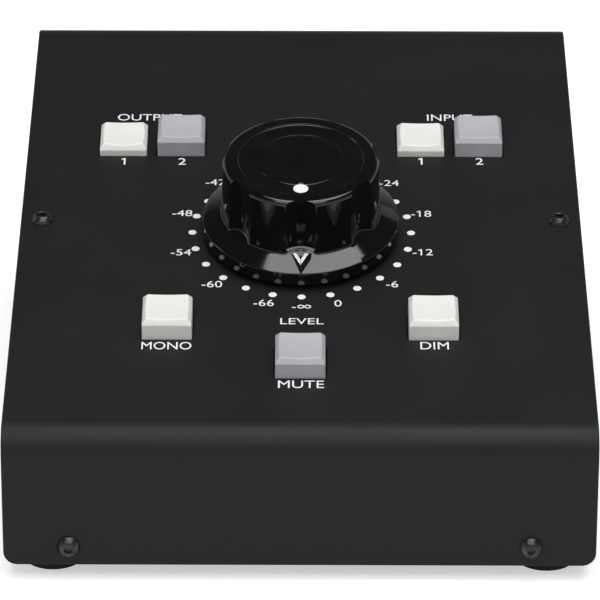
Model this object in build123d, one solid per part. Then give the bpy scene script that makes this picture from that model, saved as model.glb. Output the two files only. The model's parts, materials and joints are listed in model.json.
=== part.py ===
from build123d import *
import os
from math import atan2, cos, degrees, radians, sin, tan

# A desktop monitor controller: a folded steel cover over a folded steel tray, a stepped rotary
# attenuator under a skirted knob, seven latching push buttons and a row of rear jacks.
#
# While modelling: X to the right, Y back from the cover's front face, Z up from the cover's lower
# edge, in millimetres. Things on the sloping top are placed by x, by the distance up the slope from
# the corner where front and top would meet, and by the height above the top's outer face.
# finished() then moves every part so that the assembly stands on its feet, centred over the origin.

# ------------------------------------------------------------------ case
case_width = 145.0
case_depth = 185.0
front_height = 34.5
rear_height = 78.0
sheet = 1.5
cover_bend_radius = 7.5
cover_corner_radius = 3.4
edge_break = 0.25
shell_gap = 0.3
side_inset = 0.5
tray_bend_radius = 2.0
top_flange_width = 10.5
top_flange_setback = 14.0
end_flange_height = 11.0

# ------------------------------------------------------------------ fasteners
screw_diameter = 3.0
thread_gap = 0.05
screw_clearance = 0.2
button_head_diameter = 5.7
button_head_height = 1.65
button_head_flat = 2.6
button_head_rim = 0.2
button_head_shoulder = (2.45, 1.1)
button_socket = 2.0
button_socket_depth = 1.05
case_screw_length = 6.0
clinch_nut_diameter = 5.7
clinch_nut_shank_diameter = 4.2
clinch_nut_height = 2.2
front_screw_setback = 16.0
front_screw_z = 4.9
top_screw_setback = 5.6
top_screw_up = 91.5
pan_head_diameter = 5.5
pan_head_height = 2.0
pan_head_edge_radius = 0.65
pan_slot_width = 0.75
pan_slot_depth = 1.0

# ------------------------------------------------------------------ feet
foot_diameter = 15.5
foot_tip_diameter = 14.5
foot_height = 4.3
foot_recess_diameter = 7.5
foot_recess_depth = 2.4
foot_edge_radius = 0.5
foot_side_setback = 11.65
foot_setback = 13.0
foot_screw_length = 6.5

# ------------------------------------------------------------------ push buttons
cap_size = 12.5
cap_taper = 0.05
cap_shoulder_height = 4.0
cap_bevel_inset = 1.1
cap_bevel_rise = 1.55
cap_dish_depth = 0.6
cap_corner_radius = 0.5
cap_skirt_depth = 3.5
cap_wall = 1.2
cap_roof_underside = 2.4
cap_boss_size = 5.0
cap_boss_gap = 0.3
cap_clearance = 0.35
cutout_corner_radius = 0.6
press_travel = 3.2
latch_depth = 2.5
outer_button_x = 47.05
inner_button_x = 31.75
rear_button_up = 127.4
side_button_x = 33.3
side_button_up = 46.0
centre_button_up = 30.1

# ------------------------------------------------------------------ switches and control board
switch_size = 8.5
switch_height = 8.0
switch_lip = 1.2
switch_wall = 1.0
switch_floor = 1.0
plunger_size = 3.0
plunger_slide_gap = 0.1
plunger_foot_size = 4.6
plunger_foot_height = 1.2
plunger_foot_gap = 0.3
plunger_top_gap = 0.1
pin_diameter = 0.7
pin_hole_gap = 0.1
pin_length = 2.6
switch_pin_pitch_x = 5.0
switch_pin_pitch_y = 2.5
board_drop = 12.0
board_thickness = 1.6
board_flange_gap = 1.5
board_front_up = 16.0
board_rear_up = 148.0
board_corner_radius = 2.0
board_opening_gap = 1.5
standoff_size = 5.5
standoff_inset = 4.0
standoff_front_up = 22.0
standoff_rear_up = 142.0
board_screw_length = 6.0

# ------------------------------------------------------------------ stepped attenuator
dial_up = 85.8
level_steps = 24
shaft_diameter = 6.0
shaft_gap = 0.05
shaft_top = 17.5
bushing_diameter = 10.0
bushing_top = 4.2
bushing_hole_gap = 0.15
bushing_plate_diameter = 29.0
bushing_plate_thickness = 2.0
panel_washer_diameter = 14.0
panel_washer_thickness = 0.6
panel_nut_size = 14.0
panel_nut_thickness = 2.2
stop_radius = 7.0
stop_pin_diameter = 0.9
stop_height = 0.8
stop_lug_width = 0.85
detent_depth = 6.5
detent_floor = 1.0
detent_wheel_diameter = 17.0
detent_wheel_gap = 0.4
detent_wheel_top_gap = 1.0
detent_wheel_thickness = 4.8
detent_notch_diameter = 1.6
detent_ball_diameter = 4.76
detent_ball_gap = 0.06
detent_hole_gap = 0.1
detent_spring_thickness = 0.4
detent_spring_height = 3.5
detent_spring_opening = 40.0
wafer_diameter = 33.0
wafer_thickness = 1.0
wafer_hole_diameter = 10.4
wafer_first_gap = 3.0
wafer_pitch = 6.0
back_plate_gap = 4.0
back_plate_thickness = 1.5
bolt_circle_radius = 11.1
bolt_diameter = 2.5
bolt_entry = 1.5
bolt_head_diameter = 4.4
bolt_head_height = 1.6
spacer_diameter = 3.8
rotor_hub_diameter = 8.4
rotor_hub_length = 3.0
wiper_length = 8.6
wiper_width = 2.0
wiper_thickness = 0.3
wiper_gap = 0.15
resistor_circle_radius = 14.7
resistor_length = 3.2
resistor_width = 1.6
resistor_height = 0.6
shaft_tail = 1.0
lead_count = 8
lead_diameter = 1.1
lead_reach = 3.8
lead_bend_radius = 1.5

# ------------------------------------------------------------------ knob
knob_gap = 1.5
skirt_diameter = 50.5
skirt_rim_top = 5.0
skirt_cone_angle = 26.4
skirt_edge_radius = 0.35
grip_base_diameter = 40.8
grip_top_diameter = 40.0
grip_top = 23.1
grip_edge_radius = 1.1
flute_count = 7
flute_radius = 6.1
flute_depth = 1.8
flute_lip_radius = 1.6
top_ring_diameter = 32.2
top_recess_depth = 0.4
knob_disc_diameter = 22.6
knob_disc_thickness = 1.2
knob_disc_sink = 0.2
knob_disc_gap = 0.1
knob_dot_diameter = 4.0
knob_dot_radius = 12.8
knob_dot_depth = 1.5
knob_hollow_diameter = 31.0
knob_hollow_top = 19.0
skirt_hollow_diameter = 47.0
skirt_hollow_top = 3.4
knob_boss_diameter = 15.0
knob_boss_bottom = 5.2
knob_bush_diameter = 10.0
press_gap = 0.02
pointer_floor_radius = 19.75
pointer_floor_width = 4.4
pointer_floor_length = 4.5
pointer_floor_angle = 30.5
pointer_back_depth = 0.48
pointer_wall_height = 2.0
set_screw_diameter = 4.0
set_screw_length = 4.5
set_screw_height = 12.0
set_screw_socket = 2.0
set_screw_socket_depth = 2.0

# ------------------------------------------------------------------ rear jacks
jack_count = 8
jack_side_gap = 4.95
jack_axis_z = 28.0
jack_body_gap = 0.9
jack_body_height = 15.0
jack_body_length = 27.0
jack_body_edge = 0.5
jack_nose_diameter = 9.4
jack_nose_reach = 3.3
jack_bore_diameter = 6.5
jack_bore_depth = 29.0
jack_hole_gap = 0.2
jack_washer_diameter = 13.0
jack_washer_thickness = 0.5
jack_nut_size = 12.7
jack_nut_thickness = 2.0
jack_pin_pitch = 8.0
jack_board_side_gap = 4.5
jack_board_depth = 42.0

# ------------------------------------------------------------------ ribbon cable
ribbon_width = 15.2
ribbon_thickness = 0.9
ribbon_bend_radius = 2.0
ribbon_run_out = 2.6
ribbon_slack = 4.0
header_length = 20.3
header_width = 8.8
header_height = 9.0
header_wall = 1.1
header_floor = 2.5
socket_gap = 0.1
socket_height = 10.0
control_header_gap = 3.8
jack_header_gap = 1.7

# ------------------------------------------------------------------ worked out from the sizes above
panel_tilt = degrees(atan2(rear_height - front_height, case_depth))
panel_normal = (0, -sin(radians(panel_tilt)), cos(radians(panel_tilt)))
panel = Plane(origin=(0, 0, front_height), x_dir=(1, 0, 0), z_dir=panel_normal)
tray_half_width = case_width / 2 - side_inset
tray_inner_half_width = tray_half_width - sheet
tray_inset = sheet + shell_gap
front_screw_x = case_width / 2 - front_screw_setback
top_screw_x = case_width / 2 - top_screw_setback
foot_x = case_width / 2 - foot_side_setback
assembly_middle_y = (case_depth + jack_nose_reach - button_head_height) / 2

cutout_size = cap_size + 2 * cap_clearance
cap_top = cap_shoulder_height + cap_bevel_rise
board_top = -board_drop
board_underside = board_top - board_thickness
switch_top = board_top + switch_height
cap_boss_underside = switch_top + press_travel + cap_boss_gap
board_half_width = tray_half_width - top_flange_width - board_flange_gap
board_opening_diameter = wafer_diameter + 2 * board_opening_gap
standoff_x = board_half_width - standoff_inset

bushing_plate_underside = -sheet - bushing_plate_thickness
detent_underside = bushing_plate_underside - detent_depth
detent_floor_underside = detent_underside - detent_floor
detent_housing_diameter = (
    detent_wheel_diameter + 2 * (detent_ball_gap + detent_ball_diameter) - detent_hole_gap
)
detent_wheel_top = bushing_plate_underside - detent_wheel_top_gap
wafer_tops = [detent_floor_underside - wafer_first_gap - n * wafer_pitch for n in range(2)]
back_plate_top = wafer_tops[-1] - wafer_thickness - back_plate_gap
back_plate_underside = back_plate_top - back_plate_thickness

skirt_slope = tan(radians(skirt_cone_angle))
jack_pitch = 2 * (tray_inner_half_width - jack_side_gap + jack_body_gap / 2) / jack_count
jack_body_width = jack_pitch - jack_body_gap
jack_body_rear = case_depth - sheet
jack_board_top = jack_axis_z - jack_body_height / 2
jack_board_rear = jack_body_rear - shell_gap - sheet - shell_gap
jack_header_y = jack_body_rear - jack_body_length - jack_header_gap - header_width / 2
jack_board_half_width = tray_inner_half_width - jack_board_side_gap
jack_xs = [(n - (jack_count - 1) / 2) * jack_pitch for n in range(jack_count)]
control_header_up = dial_up + board_opening_diameter / 2 + header_width / 2 + control_header_gap

# name: x, distance up the slope, and whether the button is latched down in the stored pose
buttons = {
    "output_1": (-outer_button_x, rear_button_up, True),
    "output_2": (-inner_button_x, rear_button_up, False),
    "input_1": (inner_button_x, rear_button_up, True),
    "input_2": (outer_button_x, rear_button_up, False),
    "mono": (-side_button_x, side_button_up, False),
    "dim": (side_button_x, side_button_up, False),
    "mute": (0, centre_button_up, False),
}


# ------------------------------------------------------------------ placing
def on_panel(x, up, height=0.0):
    """A place on the sloping top: across, up the slope, and above its outer face."""
    return panel.location * Pos(x, up, height)


def facing(point, direction):
    """A place at a point whose Z axis looks along a direction of the case."""
    return Plane(origin=point, x_dir=(1, 0, 0), z_dir=direction).location


dial = on_panel(0, dial_up)
standoff_ups = (standoff_front_up, dial_up, standoff_rear_up)
standoff_places = [on_panel(side * standoff_x, up) for side in (-1, 1) for up in standoff_ups]
foot_ys = (foot_setback, case_depth - foot_setback)
foot_places = [Pos(side * foot_x, y, 0) for y in foot_ys for side in (-1, 1)]
case_screw_places = (
    [on_panel(side * top_screw_x, top_screw_up) for side in (-1, 1)]
    + [facing((side * front_screw_x, 0, front_screw_z), (0, -1, 0)) for side in (-1, 1)]
    + [facing((side * front_screw_x, case_depth, front_screw_z), (0, 1, 0)) for side in (-1, 1)]
)
jack_places = [facing((x, case_depth, jack_axis_z), (0, 1, 0)) for x in jack_xs]
board_pin_spots = [
    (x + i * switch_pin_pitch_x / 2, up + j * switch_pin_pitch_y)
    for x, up, _ in buttons.values()
    for i in (-1, 1)
    for j in (-1, 0, 1)
]
jack_pin_spots = [
    (x, jack_body_rear - jack_body_length / 2 + j * jack_pin_pitch) for x in jack_xs for j in (-1, 0, 1)
]


# ------------------------------------------------------------------ simple solids, standing on z
def rod(diameter, bottom, top):
    """A cylinder on the Z axis between two heights."""
    return Pos(0, 0, bottom) * extrude(Circle(diameter / 2), top - bottom)


def tube(outer, inner, bottom, top):
    """A hollow cylinder on the Z axis between two heights."""
    return Pos(0, 0, bottom) * extrude(Circle(outer / 2) - Circle(inner / 2), top - bottom)


def block(width, length, bottom, top, corner=0.0):
    """A box centred on the Z axis between two heights, with rounded upright edges if asked."""
    outline = RectangleRounded(width, length, corner) if corner else Rectangle(width, length)
    return Pos(0, 0, bottom) * extrude(outline, top - bottom)


def hexagon(across_flats, bottom, top):
    """A hexagonal prism on the Z axis between two heights."""
    outline = RegularPolygon(across_flats / 2, 6, major_radius=False)
    return Pos(0, 0, bottom) * extrude(outline, top - bottom)


def turned(*outline):
    """A solid turned about the Z axis from (radius, height) points."""
    return revolve(Plane.XZ * make_face(Polyline(*outline, close=True)), Axis.Z)


# ------------------------------------------------------------------ case
def side_view(inset, bottom):
    """The case seen from the side, inset from the cover's outer faces, as a face in the YZ plane."""
    slope = tan(radians(panel_tilt))
    drop = inset / cos(radians(panel_tilt))
    front = inset
    rear = case_depth - inset
    corners = [
        (front, bottom),
        (front, front_height + front * slope - drop),
        (rear, front_height + rear * slope - drop),
        (rear, bottom),
    ]
    outline = make_face(Polyline(*corners, close=True))
    outline = fillet(outline.vertices().sort_by(Axis.Y)[-2:], cover_bend_radius - inset)
    return Plane.YZ * outline


def make_cover():
    """Front, sloping top and rear, folded from one sheet."""
    cover = extrude(side_view(0, 0) - side_view(sheet, -sheet), case_width / 2, both=True)
    corner_edges = cover.edges().filter_by(Axis.Y).group_by(Axis.Z)[0]
    cover = fillet(corner_edges, cover_corner_radius)
    cover = chamfer(cover.faces().filter_by(Axis.X).edges(), edge_break)
    window = block(cutout_size, cutout_size, -2 * sheet, sheet, cutout_corner_radius)
    for x, up, _ in buttons.values():
        cover -= on_panel(x, up) * window
    cover -= dial * rod(bushing_diameter + 2 * bushing_hole_gap, -2 * sheet, sheet)
    for place in case_screw_places:
        cover -= place * rod(screw_diameter + 2 * screw_clearance, -2 * sheet, sheet)
    for place in jack_places:
        cover -= place * rod(jack_nose_diameter + 2 * jack_hole_gap, -2 * sheet, sheet)
    return cover


def tray_block(skin):
    """The space inside the cover, shrunk by a skin on every side, with rounded lower edges."""
    space = extrude(side_view(tray_inset + skin, skin), tray_half_width - skin, both=True)
    return fillet(space.faces().sort_by(Axis.Z)[0].edges(), tray_bend_radius - skin)


def make_tray():
    """Bottom and two sides, with flanges under the cover's top, front and rear."""
    tray = tray_block(0) - tray_block(sheet)
    opening_height = 2 * rear_height
    middle = Pos(0, case_depth / 2, end_flange_height)
    opening_width = 2 * (tray_half_width - top_flange_width)
    tray -= middle * block(opening_width, 2 * case_depth, 0, opening_height)
    for y in (0, case_depth):
        end = Pos(0, y, end_flange_height)
        tray -= end * block(2 * tray_inner_half_width, 2 * top_flange_setback, 0, opening_height)
    nut_hole = rod(clinch_nut_shank_diameter + 2 * thread_gap, -2 * tray_inset, 0)
    for place in case_screw_places:
        tray -= place * nut_hole
    for place in foot_places:
        tray -= place * rod(clinch_nut_shank_diameter + 2 * thread_gap, -sheet, 2 * sheet)
    return tray


def button_head_screw(length):
    """A button-head screw with a hexagon socket, its head standing on z = 0."""
    radius = button_head_diameter / 2
    start = (radius, button_head_rim)
    finish = (button_head_flat / 2, button_head_height)
    dome = ThreePointArc(start, button_head_shoulder, finish)
    rim = Polyline((0, button_head_height), (0, 0), (radius, 0), start)
    head = revolve(Plane.XZ * make_face([rim, dome, Line(finish, (0, button_head_height))]), Axis.Z)
    head -= hexagon(button_socket, button_head_height - button_socket_depth, 2 * button_head_height)
    return head + rod(screw_diameter, -length, 0)


def pan_head_screw(length):
    """A low cylinder-head screw with a cross slot, its head standing on z = 0."""
    head = rod(pan_head_diameter, 0, pan_head_height)
    head = fillet(head.edges().sort_by(Axis.Z)[-1], pan_head_edge_radius)
    slot_bottom = pan_head_height - pan_slot_depth
    slot = block(screw_diameter, pan_slot_width, slot_bottom, 2 * pan_head_height)
    for turn in (0, 90):
        head -= Rot(0, 0, turn) * slot
    return head + rod(screw_diameter, -length, 0)


def clinch_nut():
    """A pressed-in nut: a shank through the sheet below z = 0 and a collar beyond it."""
    shank = rod(clinch_nut_shank_diameter, -sheet, 0)
    collar = rod(clinch_nut_diameter, -sheet - clinch_nut_height, -sheet)
    return shank + collar - rod(screw_diameter + 2 * thread_gap, -2 * sheet - clinch_nut_height, sheet)


def rubber_foot():
    """A tapered round foot below z = 0, hollowed from underneath for its screw."""
    outline = [
        (0, -foot_height),
        (foot_tip_diameter / 2, -foot_height),
        (foot_diameter / 2, 0),
        (0, 0),
    ]
    foot = turned(*outline)
    foot = fillet(foot.edges().sort_by(Axis.Z)[0], foot_edge_radius)
    foot -= rod(foot_recess_diameter, -2 * foot_height, foot_recess_depth - foot_height)
    return foot - rod(screw_diameter + 2 * screw_clearance, -2 * foot_height, foot_height)


# ------------------------------------------------------------------ push buttons
def make_cap():
    """A square cap, raised: straight sides, a bevelled shoulder, a dished top and a hollow inside."""
    low = cap_size + 2 * cap_taper
    high = cap_size - 2 * cap_taper
    top = high - 2 * cap_bevel_inset
    sides = loft(
        [
            Pos(0, 0, -cap_skirt_depth) * RectangleRounded(low, low, cap_corner_radius),
            Pos(0, 0, cap_shoulder_height) * RectangleRounded(high, high, cap_corner_radius),
        ]
    )
    bevel = loft(
        [
            Pos(0, 0, cap_shoulder_height) * RectangleRounded(high, high, cap_corner_radius),
            Pos(0, 0, cap_top) * RectangleRounded(top, top, cap_corner_radius),
        ]
    )
    corner_reach_squared = 2 * (top / 2) ** 2
    dish_radius = (corner_reach_squared + cap_dish_depth**2) / (2 * cap_dish_depth)
    dish = Sphere(dish_radius, rotation=(90, 0, 0))
    cap = sides + bevel - Pos(0, 0, cap_top - cap_dish_depth + dish_radius) * dish
    hollow = cap_size - 2 * cap_wall
    cap -= block(hollow, hollow, -2 * cap_skirt_depth, cap_roof_underside, cap_corner_radius)
    boss = block(cap_boss_size, cap_boss_size, cap_boss_underside, cap_roof_underside)
    socket = plunger_size + 2 * press_gap
    return cap + boss - block(socket, socket, -cap_skirt_depth, cap_roof_underside)


def make_plunger():
    """A square stem, raised, from its foot inside the switch up into the cap's boss."""
    foot_top = switch_top - switch_lip - plunger_foot_gap
    foot_bottom = foot_top - plunger_foot_height
    foot = block(plunger_foot_size, plunger_foot_size, foot_bottom, foot_top)
    return foot + block(plunger_size, plunger_size, foot_top, cap_roof_underside - plunger_top_gap)


def make_switch_body():
    """A square housing standing on the board, with a cavity for the stem's foot."""
    body = block(switch_size, switch_size, board_top, switch_top)
    body = chamfer(body.faces().sort_by(Axis.Z)[-1].edges(), edge_break)
    cavity = switch_size - 2 * switch_wall
    body -= block(cavity, cavity, board_top + switch_floor, switch_top - switch_lip)
    stem_hole = plunger_size + 2 * plunger_slide_gap
    return body - block(stem_hole, stem_hole, switch_top - 2 * switch_lip, switch_top + switch_lip)


def solder_pin(top):
    """A round pin hanging from a height."""
    return rod(pin_diameter, top - pin_length, top)


# ------------------------------------------------------------------ control board
def make_control_board():
    """The board under the sloping top, open in the middle for the attenuator."""
    length = board_rear_up - board_front_up
    middle = (board_rear_up + board_front_up) / 2
    board = block(2 * board_half_width, length, board_underside, board_top, board_corner_radius)
    board = on_panel(0, middle) * board
    board -= dial * rod(board_opening_diameter, 2 * board_underside, 0)
    for place in standoff_places:
        board -= place * rod(screw_diameter + 2 * screw_clearance, 2 * board_underside, 0)
    pin_hole = rod(pin_diameter + 2 * pin_hole_gap, 2 * board_underside, 0)
    for x, up in board_pin_spots:
        board -= on_panel(x, up) * pin_hole
    return board


def standoff():
    """A hexagonal pillar from the top's inner face to the board."""
    bore = rod(screw_diameter + 2 * thread_gap, board_top, -2 * sheet)
    return hexagon(standoff_size, board_top, -sheet) - bore


# ------------------------------------------------------------------ attenuator, on the dial's axis
def bolt_spots():
    """The two clamping bolts, front and rear of the shaft."""
    return [Pos(0, side * bolt_circle_radius, 0) for side in (-1, 1)]


def bolt_holes(bottom, top):
    """Clearance holes for the clamping bolts between two heights."""
    hole = rod(bolt_diameter + 2 * thread_gap, bottom, top)
    return [spot * hole for spot in bolt_spots()]


def make_bushing():
    """The threaded bush and its plate, with the end stop's pin under the plate."""
    plate = rod(bushing_plate_diameter, bushing_plate_underside, -sheet)
    bushing = plate + rod(bushing_diameter, -sheet, bushing_top)
    half_step = 360 / level_steps / 2
    pin = rod(stop_pin_diameter, bushing_plate_underside - stop_height, bushing_plate_underside)
    bushing += Rot(0, 0, half_step) * Pos(0, -stop_radius, 0) * pin
    bushing -= rod(shaft_diameter + 2 * shaft_gap, bushing_plate_underside - sheet, 2 * bushing_top)
    for hole in bolt_holes(bushing_plate_underside, bushing_plate_underside + bolt_entry):
        bushing -= hole
    return bushing


def ball_spots():
    """The two balls, left and right of the detent wheel."""
    radius = detent_wheel_diameter / 2 + detent_ball_gap + detent_ball_diameter / 2
    height = detent_wheel_top - detent_wheel_thickness / 2
    return [Pos(side * radius, 0, height) for side in (-1, 1)]


def make_detent_housing():
    """The ring that guides the detent balls, and its floor."""
    wheel_space = detent_wheel_diameter + 2 * detent_wheel_gap
    housing = tube(detent_housing_diameter, wheel_space, detent_underside, bushing_plate_underside)
    floor_hole = shaft_diameter + 2 * detent_floor
    housing += tube(bushing_plate_diameter, floor_hole, detent_floor_underside, detent_underside)
    guide_radius = (detent_ball_diameter + detent_hole_gap) / 2
    guide = Cylinder(guide_radius, bushing_plate_diameter, rotation=(0, 90, 0))
    for spot in ball_spots():
        housing -= spot * guide
    for hole in bolt_holes(detent_floor_underside, bushing_plate_underside):
        housing -= hole
    return housing


def make_detent_wheel():
    """The notched wheel on the shaft, with the end stop's lug on its upper face."""
    bottom = detent_wheel_top - detent_wheel_thickness
    wheel = tube(detent_wheel_diameter, shaft_diameter + 2 * press_gap, bottom, detent_wheel_top)
    notch = rod(detent_notch_diameter, 2 * bottom, 0)
    for spot in PolarLocations(detent_wheel_diameter / 2, level_steps):
        wheel -= spot * notch
    lug_length = 2 * stop_pin_diameter
    lug = block(stop_lug_width, lug_length, detent_wheel_top, detent_wheel_top + stop_height)
    return wheel + Pos(0, -stop_radius, 0) * lug


def make_detent_spring():
    """The open band around the housing that presses on both balls."""
    inner = detent_housing_diameter + 2 * detent_hole_gap
    outer = inner + 2 * detent_spring_thickness
    height = detent_wheel_top - detent_wheel_thickness / 2
    half = detent_spring_height / 2
    band = tube(outer, inner, height - half, height + half)
    gap_width = outer * sin(radians(detent_spring_opening / 2))
    return band - Pos(0, outer / 2, 0) * block(gap_width, outer / 2, height - 2 * half, height + 2 * half)


def make_wafer(top):
    """A switch deck with a hole for its rotor."""
    wafer = tube(wafer_diameter, wafer_hole_diameter, top - wafer_thickness, top)
    for hole in bolt_holes(top - wafer_thickness, top):
        wafer -= hole
    return wafer


def make_rotor(top):
    """A hub on the shaft, with a wiper finger just above its deck."""
    middle = top - wafer_thickness / 2
    half = rotor_hub_length / 2
    hub = rod(rotor_hub_diameter, middle - half, middle + half)
    finger_bottom = top + wiper_gap
    finger = block(wiper_width, wiper_length, finger_bottom, finger_bottom + wiper_thickness)
    rotor = hub + Pos(0, -wiper_length / 2, 0) * finger
    return rotor - rod(shaft_diameter + 2 * press_gap, middle - 2 * half, middle + 2 * half)


def make_back_plate():
    """The plate that closes the attenuator and carries the shaft's tail."""
    bore = shaft_diameter + 2 * shaft_gap
    plate = tube(bushing_plate_diameter, bore, back_plate_underside, back_plate_top)
    for hole in bolt_holes(back_plate_underside, back_plate_top):
        plate -= hole
    return plate


def make_clamp_bolt():
    """A long bolt from under the back plate into the bushing's plate."""
    tip = bushing_plate_underside + bolt_entry - thread_gap
    bolt = rod(bolt_diameter, back_plate_underside, tip)
    return bolt + rod(bolt_head_diameter, back_plate_underside - bolt_head_height, back_plate_underside)


def wafer_spacers():
    """Tubes on the bolts that hold floor, decks and back plate apart."""
    upper, lower = wafer_tops
    spans = [
        (upper, detent_floor_underside),
        (lower, upper - wafer_thickness),
        (back_plate_top, lower - wafer_thickness),
    ]
    bore = bolt_diameter + 2 * thread_gap
    return [spot * tube(spacer_diameter, bore, *span) for spot in bolt_spots() for span in spans]


def ladder_resistors():
    """One chip resistor between each pair of neighbouring steps, on both decks."""
    chips = []
    for top in wafer_tops:
        chip = block(resistor_length, resistor_width, top, top + resistor_height)
        for n in range(level_steps - 1):
            turn = Rot(0, 0, -(n + 1) * 360 / level_steps)
            chips.append(turn * Pos(0, -resistor_circle_radius, 0) * chip)
    return chips


def attenuator_leads():
    """Short wires from the lower deck's edge out and up to the control board's underside."""
    start_radius = wafer_diameter / 2
    end_radius = start_radius + lead_reach
    height = wafer_tops[-1] - wafer_thickness / 2
    path = FilletPolyline(
        (start_radius, 0, height),
        (end_radius, 0, height),
        (end_radius, 0, board_underside),
        radius=lead_bend_radius,
    )
    section = Plane(origin=path @ 0, z_dir=path % 0) * Circle(lead_diameter / 2)
    lead = sweep(section, path)
    first_turn = 360 / lead_count / 2
    return [Rot(0, 0, first_turn + n * 360 / lead_count) * lead for n in range(lead_count)]


# ------------------------------------------------------------------ knob, on the dial's axis
def skirt_top(radius):
    """Height of the skirt's cone at a radius."""
    return skirt_rim_top + (skirt_diameter / 2 - radius) * skirt_slope


def skirt_solid():
    """The knob's skirt: an upright rim and a cone that runs in under the grip."""
    rim = skirt_diameter / 2
    inner = grip_base_diameter / 2 - 2 * flute_depth
    outline = [
        (0, knob_gap),
        (rim, knob_gap),
        (rim, skirt_rim_top),
        (inner, skirt_top(inner)),
        (0, skirt_top(inner)),
    ]
    return turned(*outline)


def grip_solid():
    """The fluted, slightly tapered grip."""
    base_radius = grip_base_diameter / 2
    outline = Circle(base_radius)
    for spot in PolarLocations(base_radius - flute_depth + flute_radius, flute_count, start_angle=-90):
        outline -= spot * Circle(flute_radius)
    base = fillet(outline.vertices(), flute_lip_radius)
    top = scale(base, grip_top_diameter / grip_base_diameter)
    grip = loft([Pos(0, 0, skirt_rim_top) * base, Pos(0, 0, grip_top) * top], ruled=True)
    return fillet(grip.faces().sort_by(Axis.Z)[-1].edges(), grip_edge_radius)


def pointer_recess():
    """The flat-floored wedge sunk in the skirt in front of the grip; its walls lean out by 45 degrees."""
    angle = radians(pointer_floor_angle)
    origin = (0, -pointer_floor_radius, skirt_top(pointer_floor_radius) - pointer_back_depth)
    floor = Plane(origin=origin, x_dir=(1, 0, 0), z_dir=(0, -sin(angle), cos(angle)))
    corners = [
        (-pointer_floor_width / 2, 0),
        (pointer_floor_width / 2, 0),
        (0, -pointer_floor_length / cos(angle)),
    ]
    outline = make_face(Polyline(*corners, close=True))
    opening = offset(outline, pointer_wall_height, kind=Kind.INTERSECTION)
    return loft([floor * outline, floor * Pos(0, 0, pointer_wall_height) * opening], ruled=True)


def set_screw_axis():
    """Along the radius behind the shaft, at the set screw's height."""
    return Pos(0, 0, set_screw_height) * Rot(-90, 0, 0)


def make_knob():
    """The moulded knob: skirt, fluted grip, sunk top and hollow underside with a central boss."""
    skirt = skirt_solid()
    rim_edges = skirt.faces().filter_by(GeomType.CYLINDER).sort_by(Axis.Z)[0].edges()
    skirt = fillet(rim_edges.filter_by(GeomType.CIRCLE), skirt_edge_radius)
    skirt -= pointer_recess()
    knob = skirt + grip_solid()
    recess_floor = grip_top - top_recess_depth
    pocket_floor = recess_floor - knob_disc_sink - knob_disc_thickness
    knob -= rod(top_ring_diameter, recess_floor, 2 * grip_top)
    knob -= rod(knob_disc_diameter + 2 * knob_disc_gap, pocket_floor, grip_top)
    knob -= dot_hole()
    knob -= rod(knob_hollow_diameter, 0, knob_boss_bottom)
    knob -= tube(knob_hollow_diameter, knob_boss_diameter, 0, knob_hollow_top)
    knob -= rod(skirt_hollow_diameter, 0, skirt_hollow_top)
    knob -= rod(knob_bush_diameter + 2 * press_gap, 0, knob_hollow_top)
    return knob - set_screw_axis() * rod(set_screw_diameter + 2 * thread_gap, 0, skirt_diameter)


def dot_hole():
    """The round hole for the white index dot."""
    bottom = grip_top - top_recess_depth - knob_dot_depth
    return Pos(0, -knob_dot_radius, 0) * rod(knob_dot_diameter + 2 * press_gap, bottom, 2 * grip_top)


def make_knob_dot():
    """The white index dot let into the knob's top."""
    floor = grip_top - top_recess_depth
    dot = rod(knob_dot_diameter, floor - knob_dot_depth, floor + press_gap)
    return Pos(0, -knob_dot_radius, 0) * dot


def make_knob_disc():
    """The thin disc let into the middle of the knob's top."""
    top = grip_top - top_recess_depth - knob_disc_sink
    disc = rod(knob_disc_diameter, top - knob_disc_thickness, top)
    disc = fillet(disc.edges().sort_by(Axis.Z)[-1], edge_break)
    return disc - dot_hole()


def make_knob_bush():
    """The metal bush in the knob's boss, tapped for the set screw."""
    bush = tube(knob_bush_diameter, shaft_diameter + 2 * press_gap, knob_boss_bottom, knob_hollow_top)
    return bush - set_screw_axis() * rod(set_screw_diameter + 2 * thread_gap, 0, knob_bush_diameter)


def make_set_screw():
    """A headless screw with a hexagon socket, pressed against the shaft."""
    inner_end = shaft_diameter / 2
    outer_end = inner_end + set_screw_length
    screw = rod(set_screw_diameter, inner_end, outer_end)
    screw -= hexagon(set_screw_socket, outer_end - set_screw_socket_depth, 2 * outer_end)
    return set_screw_axis() * screw


def make_shaft():
    """The attenuator's shaft, from the knob's bush to the back plate."""
    shaft = rod(shaft_diameter, back_plate_underside - shaft_tail, shaft_top)
    return chamfer(shaft.edges().filter_by(GeomType.CIRCLE), edge_break)


# ------------------------------------------------------------------ rear jacks, axis out of the rear
def make_jack():
    """A jack housing against the rear wall, its threaded nose through it, bored for a plug."""
    front = -sheet - jack_body_length
    body = block(jack_body_width, jack_body_height, front, -sheet)
    body = fillet(body.edges().filter_by(Axis.Z), jack_body_edge)
    body += rod(jack_nose_diameter, -sheet, jack_nose_reach)
    return body - rod(jack_bore_diameter, jack_nose_reach - jack_bore_depth, 2 * jack_nose_reach)


def jack_washer():
    """The washer between the rear wall and a jack's nut."""
    return tube(jack_washer_diameter, jack_nose_diameter + 2 * thread_gap, 0, jack_washer_thickness)


def jack_nut():
    """The hexagonal nut on a jack's nose, with flats towards its neighbours."""
    top = jack_washer_thickness + jack_nut_thickness
    bore = rod(jack_nose_diameter + 2 * thread_gap, 0, 2 * top)
    return Rot(0, 0, 30) * hexagon(jack_nut_size, jack_washer_thickness, top) - bore


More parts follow.
